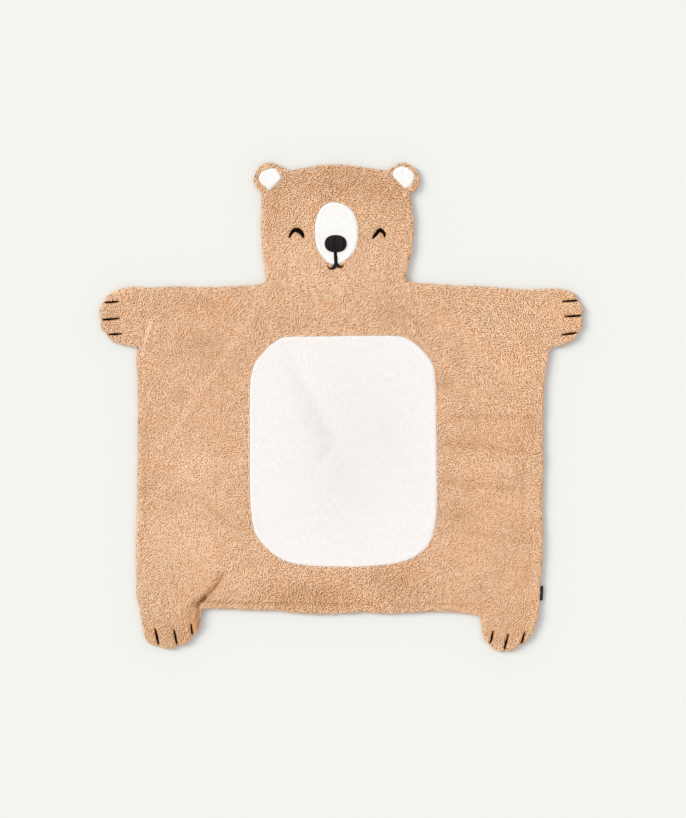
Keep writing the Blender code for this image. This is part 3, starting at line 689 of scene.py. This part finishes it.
# Soft creases of the cloth, as lines in the plan, with painted shade in creases and folds and
# painted light on most ridges.
# Columns: half width; depth, less than 0 for a ridge; roughness; shade; points along it.
CREASES = (
    (0.008, -0.0007, 0.3, 0.08, ((-0.161, 0.226), (-0.241, 0.110), (-0.293, 0.031),
                                 (-0.351, -0.059), (-0.404, -0.106))),
    (0.0045, -0.0012, 0.2, 0.17, ((-0.393, 0.178), (-0.409, 0.125))),
    (0.012, -0.0028, 1.0, 0.00, ((-0.310, -0.405), (-0.297, -0.397), (-0.284, -0.385),
                                 (-0.273, -0.373), (-0.262, -0.360), (-0.248, -0.333))),
    (0.010, 0.0, 1.0, -0.10, ((-0.303, -0.407), (-0.294, -0.400), (-0.282, -0.388),
                              (-0.270, -0.375), (-0.252, -0.350))),
    (0.006, 0.0, 1.0, -0.15, ((-0.300, -0.4095), (-0.293, -0.402), (-0.280, -0.389),
                              (-0.268, -0.377), (-0.257, -0.3645))),
    (0.0032, 0.0016, 1.0, -0.15, ((-0.299, -0.412), (-0.291, -0.4035), (-0.278, -0.391),
                                  (-0.267, -0.379), (-0.255, -0.3665), (-0.246, -0.348))),
    (0.0042, 0.0014, 1.0, -0.66, ((-0.296, -0.409), (-0.291, -0.4035), (-0.283, -0.3955))),
    (0.0045, -0.0035, 0.6, -0.22, ((-0.301, -0.418), (-0.302, -0.452))),
    (0.0036, 0.0014, 1.0, -0.12, ((-0.283, -0.4035), (-0.100, -0.4075), (0.060, -0.4085))),
    (0.0034, 0.0008, 0.8, -0.06, ((0.060, -0.4085), (0.285, -0.4080))),
    (0.004, 0.0012, 0.7, -0.12, ((0.117, 0.4506), (0.1275, 0.4373))),
    (0.006, 0.0006, 0.7, -0.10, ((0.219, -0.019), (0.398, -0.025))),
    (0.007, 0.0006, 0.7, -0.10, ((0.266, -0.080), (0.382, -0.093))),
    (0.007, 0.0007, 0.7, -0.10, ((0.219, -0.154), (0.356, -0.170))),
    (0.006, 0.0006, 0.7, -0.08, ((0.208, -0.254), (0.387, -0.275))),
    (0.005, 0.0004, 0.6, -0.06, ((0.377, -0.017), (0.377, -0.270))),
    (0.006, 0.0007, 0.6, -0.10, ((-0.272, -0.207), (-0.214, -0.254))),
    (0.010, -0.0006, 0.3, 0.06, ((-0.204, -0.101), (-0.262, -0.196))),
    (0.005, -0.0006, 0.3, 0.08, ((-0.373, -0.376), (-0.383, -0.428))),
    (0.005, -0.0008, 0.3, 0.08, ((0.136, 0.332), (0.118, 0.279))),
)
# Waves over the whole rug. Columns: height, wavelength, seed.
RELIEF_WAVES = ((0.00040, 0.10, 12), (0.00022, 0.045, 13))
ROUGH_WAVES = ((0.18, 0.11, 5), (0.12, 0.045, 9))
SHADE_WAVES = ((0.016, 0.035, 6), (0.012, 0.09, 7))
BRUSH_WAVES = ((0.30, 0.07, 8),)
DARKEST = 0.05  # the least shade, in the deepest fold
PILE_TOP = 0.014
RIM_WIDTH = 0.0135  # from the seam to where the pile is at its full height
RIM_FORM = 3.6  # 2 for an elliptic rim, more for a fuller one
HOLLOW_RUN = 0.0024  # the ground cloth rises from a patch's bed over this distance
RELIEF_RUN = 0.006  # the relief grows from 0 at a patch or stitch over this distance
BACKING_DOWN = -0.3  # the ground's faces are backing where their normal's z is below this
PATCH_CLEARANCE = 0.0008  # from a patch's edge to the middle of the nearest curl
STITCH_CLEARANCE = 0.0018
BESIDE_PATCH = 0.0133  # height of the pile along a patch's edge
BESIDE_RUN = (0.0015, 0.0045)  # that height holds up to the first distance, and ends at the second
PATCH_ALIGN = 0.006  # curls nearer a patch than this lie along its edge
SEAM_ALIGN = 0.004  # and those nearer the seam than this lie along the seam
SEAM_LOW = 0.0028  # height of the lowest curls, on the underside of the rim
FLOOR_CLEARANCE = 0.0004  # height of the lowest point of any curl
RIM_FULLNESS = 0.0018  # how far the curls of the rim stand out
RIM_PAINTED_LIGHT = 0.22  # how much painted shade darkens the rim where it faces the light, and painted light lightens it where it faces away
TRIAL_SPOTS = 500000  # places tried for a curl
CURL_SIDES = 4
CURL_SEGMENTS = 4
CURL_STEPS = 20  # steps used to follow a curl's bend
CURL_BEND = (0.2, 0.9)  # half of a curl's turn from end to end, in radians
CURL_SHOULDER = 0.7  # width of a curl's top as a share of its foot
CURL_TUCK = (0.0003, 0.0010)  # how far a curl's tips are tucked in
CURL_DROOP = 0.0004  # how far its ends hang below its middle
# Spreads from curl to curl. The pairs give smooth pile, then what rough pile adds.
LENGTH_SPREAD = 0.16
SIZE_SPREAD = 0.12
LIFT_SPREAD = (0.0001, 0.0007)
TURN_SPREAD = (0.75, -0.4)
TINT_SPREAD = (0.40, 0.65)
ALIGNED_SPREAD = 0.25
# The way the pile is brushed, in degrees from +X, and where it turns the other way.
# Columns: middle x, y; half width, half height; angle.
BRUSHED = 40
BRUSHED_AREAS = (
    (0.360, 0.010, 0.150, 0.220, -45),
    (0.100, 0.410, 0.050, 0.060, -40),
    (0.400, 0.210, 0.140, 0.050, -20),
)


def relief(points):
    """How much the laid cloth stands above a flat one, at points of the plan."""
    rise = uneven(points, RELIEF_WAVES)
    for half_width, depth, _, _, line in CREASES:
        rise -= depth * crease_share(points, line, half_width)
    return rise


def relief_slope(points):
    """The relief's slope along x and y."""
    step = 0.0005
    slope = []
    for axis in ((step, 0.0, 0.0), (0.0, step, 0.0)):
        slope.append((relief(points + axis) - relief(points - np.array(axis))) / (2 * step))
    return np.stack(slope, 1)


def arrays(bm):
    return (np.array([tuple(vert.co) for vert in bm.verts]),
            np.array([tuple(vert.normal) for vert in bm.verts]))


def rim_rise(points):
    """How much a full pile stands above the solid's rounded rim, at points on its surface."""
    from_seam, _ = to_line(points, SEAM)
    from_patch, _ = inlay_distance(points, PATCHES)
    full = PILE_TOP - SEAM[:, 2].mean()
    ratio = ((points[:, 2] - PILE_TOP + full) / full).clip(0.0, 1.0)
    fuller = (1 - (1 - ratio ** 2) ** (RIM_FORM / 2)) ** (1 / RIM_FORM)
    share = smooth_step(RIM_WIDTH - from_seam, 0.0, 0.001) * smooth_step(from_patch, *BESIDE_RUN)
    return (fuller - ratio) * full * share * (ratio > 0)


def raise_rim(bm, sunk=0.0):
    """Give a form the full rim of a thick pile, and sink all of it a little."""
    for vert, rise in zip(bm.verts, rim_rise(arrays(bm)[0])):
        vert.co.z += rise - sunk


def fleece_form():
    """The fleece's smooth outer form, with its points and normals."""
    bm = smooth_form("fleece_body", 1)
    raise_rim(bm)
    bm.normal_update()
    return bm, *arrays(bm)


def inlay_distance(points, nodes):
    """Distance to the nearest of some pieces in the plan, 0 within them, and its direction."""
    best = np.full(len(points), np.inf)
    heading = np.zeros((len(points), 2))
    for node in nodes:
        away, along = to_line(points, OUTLINES[node])
        away = np.where(inside(points, OUTLINES[node]), 0.0, away)
        closer = away < best
        best[closer] = away[closer]
        heading[closer] = along[closer]
    return best, heading


def pile_field(points):
    """How rough the pile is and how bright, at points of the plan: its tone, with painted shade in
    creases and folds and painted light on ridges.
    """
    shares = [(np.exp(-area_away(points, *area)), roughness, step)
              for *area, roughness, step in PILE_AREAS]
    shares += [(crease_share(points, line, half_width), roughness, step)
               for half_width, _, roughness, step, line in CREASES]
    rough = uneven(points, ROUGH_WAVES, 0.5)
    shade = uneven(points, SHADE_WAVES, 1.0)
    # Painted shade and painted light: areas and creases darken or lighten the pile's colour.
    for share, roughness, step in shares:
        rough += (roughness - rough) * share
        shade += step * share
    return np.clip(rough, 0.0, 1.0), np.maximum(shade, DARKEST)


class RUG_OT_fleece_ground(bpy.types.Operator):
    """Make the ground cloth under the curls and the woven backing"""
    bl_idname = "rug.fleece_ground"
    bl_label = "Fleece ground"

    def execute(self, context):
        settings = context.scene.rug_fleece
        bm, points, normals = fleece_form()
        away, _ = inlay_distance(points, OUTLINES)
        top_share = smooth_step(normals[:, 2], -0.85, -0.2)
        depth = settings.pile_depth * np.clip(away / HOLLOW_RUN, 0.0, 1.0) * top_share
        laid = relief(points) * smooth_step(away, 0.0, RELIEF_RUN)
        laid *= smooth_step(normals[:, 2], 0.0, 0.6)
        for vert, normal, step, rise in zip(bm.verts, normals, depth, laid):
            vert.co -= Vector(normal) * step
            vert.co.z += rise
        bm.normal_update()
        for face in bm.faces:
            face.material_index = int(face.normal.z < BACKING_DOWN)
        piece = add_bmesh_piece("fleece_ground", bm, [
            ground_material(settings), backing_material(settings)])
        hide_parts("fleece_body")
        return {"FINISHED"}


def scattered(rng, bm, points, normals, count):
    """Points spread evenly over the fleece's upper side and rim, with their normals."""
    corners = [[vert.index for vert in face.verts] for face in bm.faces]
    triangles = np.array([(q[0], q[i], q[i + 1]) for q in corners for i in range(1, len(q) - 1)])
    a, b, c = points[triangles[:, 0]], points[triangles[:, 1]], points[triangles[:, 2]]
    cross = np.cross(b - a, c - a)
    area = np.linalg.norm(cross, axis=1) / 2
    up = cross[:, 2] / np.maximum(2 * area, 1e-12)
    low = (a[:, 2] + b[:, 2] + c[:, 2]) / 3 < SEAM_LOW
    area[(up < 0) & low] = 0.0
    picked = rng.choice(len(triangles), count, p=area / area.sum())
    s, t = rng.random(count), rng.random(count)
    over = s + t > 1
    s[over], t[over] = 1 - s[over], 1 - t[over]
    shares = np.stack([1 - s - t, s, t], 1)[:, :, None]
    spots = (points[triangles[picked]] * shares).sum(1)
    upright = unit((normals[triangles[picked]] * shares).sum(1))
    keep = (spots[:, 2] > SEAM_LOW) | (upright[:, 2] > 0)
    return spots[keep], upright[keep]


def thinned(spots, spacing):
    """Indices of points that are at least a spacing apart, taken in order."""
    tree = KDTree(len(spots))
    for i, spot in enumerate(spots):
        tree.insert(spot, i)
    tree.balance()
    used = np.zeros(len(spots), bool)
    kept = []
    for i, spot in enumerate(spots):
        if not used[i]:
            kept.append(i)
            for _, j, _ in tree.find_range(spot, spacing):
                used[j] = True
    return np.array(kept)


def spread_of(pair, rough):
    """A spread in pile of some roughness."""
    smooth, added = pair
    return smooth + added * rough


def curl_places(rng, tube, spots, upright, heading, rough, settings):
    """Each curl's points, and how high each of them lies in the pile, from about 0 to 1."""
    count = len(spots)
    length = settings.curl_length * (0.9 + 0.25 * rough)
    length *= rng.normal(1.0, LENGTH_SPREAD, count).clip(0.6, 1.5)
    size = rng.normal(1.0, SIZE_SPREAD, (count, 1)).clip(0.7, 1.35)
    bend = rng.uniform(*CURL_BEND, count) * rng.choice((-1.0, 1.0), count)
    stations = np.sign(tube.stations) * 0.5 * np.sqrt(2 * np.abs(tube.stations))
    share = np.linspace(-0.5, 0.5, CURL_STEPS + 1)
    turn = bend[:, None] * 2 * share
    step = length[:, None] / CURL_STEPS
    middle = (turn[:, 1:] + turn[:, :-1]) / 2
    zeros = np.zeros((count, 1))
    x = np.concatenate([zeros, np.cumsum(np.cos(middle) * step, 1)], 1)
    y = np.concatenate([zeros, np.cumsum(np.sin(middle) * step, 1)], 1)
    x -= x.mean(1, keepdims=True)
    y -= y.mean(1, keepdims=True)
    at = np.abs(share[:, None] - stations).argmin(0)
    x, y, turn = x[:, at], y[:, at], turn[:, at]

    k = tube.station
    ends = tube.pole
    across = np.sign(tube.around[:, 0]) * ~ends
    upward = np.sign(tube.around[:, 1]) * ~ends
    from_middle = 2 * np.abs(stations[k])
    half_width = settings.curl_width / 2 * np.where(upward > 0, CURL_SHOULDER, 1.0)
    half_width = half_width * np.sqrt(1 - 0.6 * from_middle ** 4)
    half_height = settings.curl_height / 2
    lift = rng.normal(0.0, 1.0, count).clip(-1.6, 1.6) * spread_of(LIFT_SPREAD, rough)
    lift += RIM_FULLNESS * (1 - upright[:, 2].clip(0, 1))
    tuck = rng.uniform(*CURL_TUCK, (count, len(stations)))[:, k] * ends
    tuck += CURL_DROOP * from_middle ** 2
    local_x = x[:, k] - np.sin(turn[:, k]) * across * half_width * size
    local_y = y[:, k] + np.cos(turn[:, k]) * across * half_width * size
    local_z = lift[:, None] + half_height * (upward * size - 1) - tuck

    first = np.stack([heading[:, 0], heading[:, 1], np.zeros(count)], 1)
    first = unit(first - upright * (first * upright).sum(1)[:, None])
    second = np.cross(upright, first)
    places = (spots[:, None] + first[:, None] * local_x[..., None]
              + second[:, None] * local_y[..., None] + upright[:, None] * local_z[..., None])
    places[..., 2] = np.maximum(places[..., 2], FLOOR_CLEARANCE)
    return places, 1.0 + local_z / settings.pile_depth


def brushed(points):
    """The angle at which the pile lies, at points of the plan."""
    angle = uneven(points, BRUSH_WAVES, math.radians(BRUSHED))
    for *area, turned in BRUSHED_AREAS:
        angle += math.radians(turned - BRUSHED) * np.exp(-area_away(points, *area) ** 2)
    return angle


def clear_spots(rng, settings):
    """The curls' places, clear of patches and stitches, and which way is up at each."""
    bm, points, normals = fleece_form()
    spots, upright = scattered(rng, bm, points, normals, TRIAL_SPOTS)
    bm.free()
    free = ~np.any([inside(spots, OUTLINES[node]) for node in PATCHES], axis=0)
    spots, upright = spots[free], upright[free]
    kept = thinned(spots, settings.curl_spacing)
    spots, upright = spots[kept], upright[kept]
    stitch_away, _ = inlay_distance(spots, (*EYES, MOUTH, *CLAWS))
    clear = stitch_away > STITCH_CLEARANCE
    return spots[clear], upright[clear]


def laid_on_cloth(spots, upright):
    """The places and their way up on the laid cloth, beside the patches and on the relief."""
    patch_away, patch_heading = inlay_distance(spots, PATCHES)
    outward = np.stack([patch_heading[:, 1], -patch_heading[:, 0]], 1)
    spots[:, :2] += outward * (PATCH_CLEARANCE - patch_away).clip(0)[:, None]
    beside = 1 - smooth_step(patch_away, *BESIDE_RUN)
    spots[:, 2] = np.maximum(spots[:, 2], BESIDE_PATCH * beside)
    upright[:, 2] += 2 * beside
    upright = unit(upright)
    inlay_away, _ = inlay_distance(spots, OUTLINES)
    laid = smooth_step(inlay_away, 0.0, RELIEF_RUN) * smooth_step(upright[:, 2], 0.0, 0.5)
    spots[:, 2] += relief(spots) * laid
    upright[:, :2] -= relief_slope(spots) * laid[:, None]
    return spots, unit(upright), patch_away, patch_heading


def curl_headings(rng, angle, edges):
    """Which way each curl lies: at its own angle, or along an edge that is near.

    Columns of edges: distance to the edge, its direction, how near it turns the curls.
    """
    headings = np.stack([np.cos(angle), np.sin(angle)], 1)
    for away, line, reach in edges:
        share = 1 - smooth_step(away, 0.3 * reach, reach)
        turn = rng.normal(0.0, ALIGNED_SPREAD, len(angle))
        cos, sin = np.cos(turn), np.sin(turn)
        turned = np.stack([line[:, 0] * cos - line[:, 1] * sin,
                           line[:, 0] * sin + line[:, 1] * cos], 1)
        lies_along = rng.random(len(angle)) < share
        headings[lies_along] = turned[lies_along]
    return headings


# The curls' pieces, taken in this order.
CURL_REGIONS = {
    "curls_head": lambda p: p[:, 1] > 0.2545,
    "curls_shoulders": lambda p: p[:, 1] > 0.117,
    "curls_hips": lambda p: p[:, 1] < -0.300,
    "curls_flank_left": lambda p: p[:, 0] < 0.0,
    "curls_flank_right": lambda p: p[:, 0] >= 0.0,
}


class RUG_OT_fleece_curls(bpy.types.Operator):
    """Cover the fleece with curls, a piece for each region"""
    bl_idname = "rug.fleece_curls"
    bl_label = "Fleece curls"

    def execute(self, context):
        settings = context.scene.rug_fleece
        rng = np.random.default_rng(settings.seed)
        spots, upright = clear_spots(rng, settings)
        spots, upright, patch_away, patch_heading = laid_on_cloth(spots, upright)
        count = len(spots)
        rough, shade = pile_field(spots)
        # Painted light and shade on the rim: darker where it faces the light, paler where it faces
        # away from it.
        rim = 1 + RIM_PAINTED_LIGHT * (upright[:, :2] @ np.array(SUN_DIRECTION[:2]))
        angle = brushed(spots) + rng.normal(0.0, 1.0, count) * spread_of(TURN_SPREAD, rough)
        heading = curl_headings(rng, angle, (
            (*to_line(spots, SEAM), SEAM_ALIGN), (patch_away, patch_heading, PATCH_ALIGN)))
        tube = Tube(CURL_SIDES, CURL_SEGMENTS, 45)
        places, deep = curl_places(rng, tube, spots, upright, heading, rough, settings)
        tint = rng.normal(0.0, 1.0, count).clip(-2, 2) * spread_of(TINT_SPREAD, rough)
        shift = rng.random((count, 2)) * 10

        material = curl_material(settings)
        fields = {"tint": tint[:, None], "shade": shade[:, None], "rim": rim[:, None],
                  "depth": deep, "rough": rough[:, None]}
        taken = np.zeros(count, bool)
        for name, holds in CURL_REGIONS.items():
            own = holds(spots) & ~taken
            taken |= own
            mesh = repeated_mesh(name, tube, places[own])
            for key, values in fields.items():
                set_attribute(mesh, key, np.broadcast_to(values[own], deep[own].shape))
            set_tube_uv(mesh, tube, shift[own])
            add_piece(name, mesh, [material])
        return {"FINISHED"}


# The plush patches

def heights_on(tree, points):
    """Height of the first surface met from above, at points of the plan."""
    heights = []
    for x, y in points[:, :2]:
        hit, _, _, _ = tree.ray_cast(Vector((x, y, 0.1)), Vector((0, 0, -1)))
        if hit is None:
            hit, _, _, _ = tree.find_nearest(Vector((x, y, 0.013)))
        heights.append(hit.z)
    return np.array(heights)


# Where the belly is darker: painted shade of its sunken middle and the fold across it.
# Columns: middle x, y; half width, half height; lean of x to y; shade.
BELLY_AREAS = (
    (0.020, -0.060, 0.120, 0.170, 0.00, -0.050),
    (-0.045, -0.050, 0.026, 0.085, 0.44, -0.050),
    (-0.013, -0.185, 0.060, 0.075, 0.00, -0.030),
    (0.100, -0.065, 0.030, 0.060, 0.20, -0.025),
)


# Waves over the patches, in their tone and in their height. Columns: height, wavelength, seed.
NAP_WAVES = ((0.005, 0.03, 31),)
PLUSH_WAVES = ((0.00012, 0.018, 21),)
PLUSH_EDGE = 0.0022  # a patch's surface starts to rise over this distance from its edge


def nap_tone_and_painted_shade(points):
    """How bright the plush is, at points of the plan: the nap's uneven tone, with painted shade
    over the belly.
    """
    tone_and_painted_light = uneven(points, NAP_WAVES, 1.0)
    for *area, step in BELLY_AREAS:
        tone_and_painted_light += step * np.exp(-area_away(points, *area))
    return tone_and_painted_light


class RUG_OT_plush_patches(bpy.types.Operator):
    """Make the short plush patches with their turned edges"""
    bl_idname = "rug.plush_patches"
    bl_label = "Plush patches"

    def execute(self, context):
        settings = context.scene.rug_plush
        plain = plush_material("short_plush", settings.colour)
        belly = plush_material("belly_plush", settings.belly_colour)
        for node in PATCHES:
            bm = smooth_form(node, 2)
            points = np.array([tuple(vert.co) for vert in bm.verts])
            away, _ = to_line(points, OUTLINES[node])
            edge = smooth_step(away, 0.0, PLUSH_EDGE)
            turned = 1 - smooth_step(away, 0.8 * settings.turned_edge, 1.15 * settings.turned_edge)
            rise = settings.turned_rise * edge * turned
            rise += uneven(points, PLUSH_WAVES) * edge
            for vert, step in zip(bm.verts, rise):
                if vert.normal.z > UP_FACE:
                    vert.co.z += step
            # Painted shade over the belly, with the nap's uneven tone, kept in an attribute.
            tone_and_painted_light = bm.verts.layers.float.new("tone_and_painted_light")
            for vert, value in zip(bm.verts, nap_tone_and_painted_shade(points)):
                vert[tone_and_painted_light] = value
            piece = add_bmesh_piece(node.replace("patch", "plush"), bm,
                                    [belly if node == "belly_patch" else plain])
            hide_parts(node)
        return {"FINISHED"}


# Satin stitching

THREAD_SIDES = 5
THREAD_SEGMENTS = 6
STITCH_OVER = 0.00035  # how far a stitch's ends lie outside its outline
STITCH_STRAY = 0.00008  # spread of the stitches' ends
STITCH_DROP = 0.0012  # how far the ends of a long stitch dip into the pile
STITCH_BED = 0.0003  # how far the solid is sunk under its stitches
FACE_ARCH = 0.0003  # how far a stitch's middle stands above its solid
NOSE_ARCH = 0.0005
CLAW_ARCH = 0.0006
NOSE_GAP = 0.0012  # the philtrum's stitches run this far beyond its solid, up to the nose
CHIN = 0.0105  # from the mouth's lowest point to where stitches across the philtrum start
EYE_FAN = 0.1  # the eye's stitches point at a centre below it by this share of its height


def stitches_along(loop, point, direction, low=-math.inf):
    """Stitches on a line in the plan, where it runs inside an outline and beyond low."""
    starts = loop[:, :2] - point
    ends = np.roll(starts, -1, 0)
    normal = np.array((-direction[1], direction[0]))
    a, b = starts @ normal, ends @ normal
    hits = (a > 0) != (b > 0)
    t = a[hits] / (a[hits] - b[hits])
    spots = starts[hits] + (ends[hits] - starts[hits]) * t[:, None]
    along = np.sort(spots @ direction)
    along = along[along > low]
    return [(point + direction * start, point + direction * end)
            for start, end in zip(along[::2], along[1::2])]


def parallel_stitches(loop, direction, pitch, low=-math.inf):
    """Stitches across an outline, all in one direction. low is the lowest place for one."""
    direction = np.array(direction) / np.hypot(*direction)
    normal = np.array((-direction[1], direction[0]))
    reach = loop[:, :2] @ normal
    rows = []
    for place in np.arange(max(reach.min() + pitch / 2, low), reach.max(), pitch):
        rows += stitches_along(loop, normal * place, direction)
    return rows


def fan_stitches(loop, centre, pitch):
    """Stitches across a curved band, each pointing at a centre."""
    centre = np.array(centre)
    spokes = loop[:, :2] - centre
    reach = np.hypot(*spokes.T).mean()
    turns = np.unwrap(np.arctan2(spokes[:, 1], spokes[:, 0]))
    rows = []
    for turn in np.arange(turns.min(), turns.max(), pitch / reach):
        rows += stitches_along(loop, centre, np.array((math.cos(turn), math.sin(turn))), low=0.0)
    return rows


def stitch_places(rng, tube, rows, settings, node, arch, pile):
    """Points of satin stitches laid side by side, raised along their middle.

    Where the pile's form is given, stitches beyond the end of the solid follow its fall.
    """
    starts = np.array([row[0] for row in rows])
    ends = np.array([row[1] for row in rows])
    span = ends - starts
    length = np.hypot(*span.T)
    direction = span / np.maximum(length, 1e-9)[:, None]
    starts = starts - direction * STITCH_OVER + rng.normal(0, STITCH_STRAY, starts.shape)
    ends = ends + direction * STITCH_OVER + rng.normal(0, STITCH_STRAY, ends.shape)
    middle = (starts + ends) / 2
    level = heights_on(BVHTree.FromBMesh(smooth_form(node, 1)), middle)
    level += rim_rise(np.column_stack([middle, level]))
    if pile is not None:
        under = heights_on(pile, middle)
        level = np.minimum(level, under + np.median(level - under))
    share = (tube.stations + 0.5)[tube.station]
    flat = starts[:, None] + (ends - starts)[:, None] * share[None, :, None]
    bow = 1 - (2 * np.abs(tube.stations[tube.station])) ** 2.6
    drop = np.minimum(STITCH_DROP, 0.25 * length + 0.0004)
    z =level[:, None] - drop[:, None] * (1 - bow) + arch * bow
    radius = settings.thread / 2 * np.sqrt(1 - (2 * np.abs(tube.along)) ** 8 * 0.9) * ~tube.pole
    side = np.stack([-direction[:, 1], direction[:, 0]], 1)
    places = np.empty((len(rows), len(share), 3))
    places[..., :2] = flat + side[:, None] * (tube.around[:, 0] * radius)[None, :, None]
    places[..., 2] = z + (tube.around[:, 1] * radius)[None]
    return places


def add_satin(node, rows, settings, material, arch=FACE_ARCH, pile=None):
    """A piece of stitches in rows, with the solid that they replace as the bed under them."""
    rng = np.random.default_rng(len(rows))
    tube = Tube(THREAD_SIDES, THREAD_SEGMENTS)
    places = stitch_places(rng, tube, rows, settings, node, arch, pile)
    stitches = repeated_mesh("working", tube, places)
    set_tube_uv(stitches, tube, rng.random((len(rows), 2)))
    bed = merged(node)
    raise_rim(bed, STITCH_BED)
    bm = bmesh.new()
    for mesh in (stitches, as_mesh("working", bed)):
        bm.from_mesh(mesh)
        bpy.data.meshes.remove(mesh)
    piece = add_bmesh_piece(node.replace("stitch", "satin"), bm, [material])
    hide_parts(node)


class RUG_OT_satin_face(bpy.types.Operator):
    """Stitch the closed eyes, the nose and the mouth"""
    bl_idname = "rug.satin_face"
    bl_label = "Satin face"

    def execute(self, context):
        settings = context.scene.rug_satin
        material = thread_material("satin_thread", settings.nose_colour, 0.5, 0.08)
        fine = thread_material("fine_thread", settings.colour, 0.6, 0.05)
        for node in EYES:
            loop = OUTLINES[node]
            low, high = loop.min(0), loop.max(0)
            centre = ((low[0] + high[0]) / 2, low[1] - EYE_FAN * (high[1] - low[1]))
            add_satin(node, fan_stitches(loop, centre, settings.pitch), settings, fine)
        rows = parallel_stitches(OUTLINES[NOSE], (0.0, 1.0), settings.pitch)
        add_satin(NOSE, rows, settings, material, NOSE_ARCH)
        loop = OUTLINES[MOUTH].copy()
        loop[loop[:, 1] > loop[:, 1].max() - 0.001, 1] += NOSE_GAP
        chin = loop[:, 1].min() + CHIN
        rows = parallel_stitches(loop, (1.0, 0.0), settings.pitch, low=chin)
        for start, end in parallel_stitches(loop, (0.0, 1.0), settings.pitch):
            if min(start[1], end[1]) < chin:
                rows.append((start, np.array((end[0], min(end[1], chin)))))
        add_satin(MOUTH, rows, settings, material)
        return {"FINISHED"}


class RUG_OT_satin_claws(bpy.types.Operator):
    """Stitch the claws on the four paws"""
    bl_idname = "rug.satin_claws"
    bl_label = "Satin claws"

    def execute(self, context):
        settings = context.scene.rug_satin
        material = thread_material("claw_thread", settings.colour, 0.6, 0.05)
        pile = BVHTree.FromBMesh(fleece_form()[0])
        for node in CLAWS:
            across, _ = short_and_long(OUTLINES[node])
            rows = parallel_stitches(OUTLINES[node], across, settings.pitch)
            add_satin(node, rows, settings, material, CLAW_ARCH, pile)
        return {"FINISHED"}


# The side label

LABEL_SHIFT = (0.0010, 0.0018, 0.0)  # where the tab shows, from its solid's place


class RUG_OT_side_label(bpy.types.Operator):
    """Make the bare woven label, folded into the side seam"""
    bl_idname = "rug.side_label"
    bl_label = "Side label"

    def execute(self, context):
        settings = context.scene.rug_label
        bm = smooth_form("side_label", 1)
        bmesh.ops.translate(bm, verts=bm.verts, vec=LABEL_SHIFT)
        piece = add_bmesh_piece("side_tab", bm, [label_material(settings)])
        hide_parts("side_label")
        return {"FINISHED"}


# The stage

PICTURE_MIDDLE = (0.0035, -0.0040)  # the point of the rug under the middle of the picture
SUN_ANGLE = 28
SUN_COLOUR = (1.0, 1.0, 0.90)
SKY_COLOUR = (0.93, 0.94, 1.0)
FLOOR_REACH = 30.0
FLOOR_DROP = 0.0004  # the floor lies this far under the rug
SENSOR_HEIGHT = 24.0


class RUG_OT_stage(bpy.types.Operator):
    """Set the floor, the soft light and the camera straight above"""
    bl_idname = "rug.stage"
    bl_label = "Stage"

    def execute(self, context):
        settings = context.scene.rug_stage
        bm = bmesh.new()
        bmesh.ops.create_grid(bm, x_segments=1, y_segments=1, size=FLOOR_REACH)
        bmesh.ops.translate(bm, verts=bm.verts, vec=(0, 0, -FLOOR_DROP))
        mesh = as_mesh("floor", bm)
        mesh.materials.append(floor_material(settings))
        floor = new_object("floor", mesh)

        light = bpy.data.lights.new("soft_key", "SUN")
        light.energy = settings.sun_strength
        light.angle = math.radians(SUN_ANGLE)
        light.color = SUN_COLOUR
        key = new_object("soft_key", light)
        key.rotation_euler = Vector(SUN_DIRECTION).to_track_quat("-Z", "Y").to_euler()

        world = bpy.data.worlds.new("even_fill")
        world.use_nodes = True
        background = world.node_tree.nodes["Background"]
        background.inputs["Color"].default_value = colour(SKY_COLOUR)
        background.inputs["Strength"].default_value = settings.sky_strength
        context.scene.world = world
        context.scene.view_settings.view_transform = "Standard"

        camera_data = bpy.data.cameras.new("camera_above")
        camera_data.sensor_fit = "VERTICAL"
        camera_data.sensor_height = SENSOR_HEIGHT
        above_pile = settings.camera_height - PILE_TOP
        camera_data.lens = SENSOR_HEIGHT * above_pile / settings.view_height
        camera_data.clip_end = 100.0
        camera = new_object("camera_above", camera_data)
        camera.location = (*PICTURE_MIDDLE, settings.camera_height)
        context.scene.camera = camera
        return {"FINISHED"}


class RUG_PT_panel(bpy.types.Panel):
    """The rug's operators and sizes"""
    bl_idname = "RUG_PT_panel"
    bl_label = "Play Rug"
    bl_space_type = "VIEW_3D"
    bl_region_type = "UI"
    bl_category = "Play Rug"

    def draw(self, context):
        for operator in OPERATORS:
            self.layout.operator(operator.bl_idname)
        for name in SETTINGS:
            group = getattr(context.scene, name)
            box = self.layout.box()
            for key in group.bl_rna.properties.keys():
                if key not in ("rna_type", "name"):
                    box.prop(group, key)


OPERATORS = (
    RUG_OT_fleece_ground, RUG_OT_fleece_curls, RUG_OT_plush_patches, RUG_OT_satin_face,
    RUG_OT_satin_claws, RUG_OT_side_label, RUG_OT_stage,
)
SETTINGS = {
    "rug_fleece": FleeceSettings, "rug_plush": PlushSettings, "rug_satin": SatinSettings,
    "rug_label": LabelSettings, "rug_stage": StageSettings,
}


def register():
    for kind in (*SETTINGS.values(), *OPERATORS, RUG_PT_panel):
        bpy.utils.register_class(kind)
    for name, kind in SETTINGS.items():
        setattr(bpy.types.Scene, name, PointerProperty(type=kind))


def unregister():
    for name in SETTINGS:
        delattr(bpy.types.Scene, name)
    for kind in reversed((*SETTINGS.values(), *OPERATORS, RUG_PT_panel)):
        bpy.utils.unregister_class(kind)


def main():
    register()
    for operator in OPERATORS:
        group, name = operator.bl_idname.split(".")
        getattr(getattr(bpy.ops, group), name)()


if __name__ == "__main__":
    main()
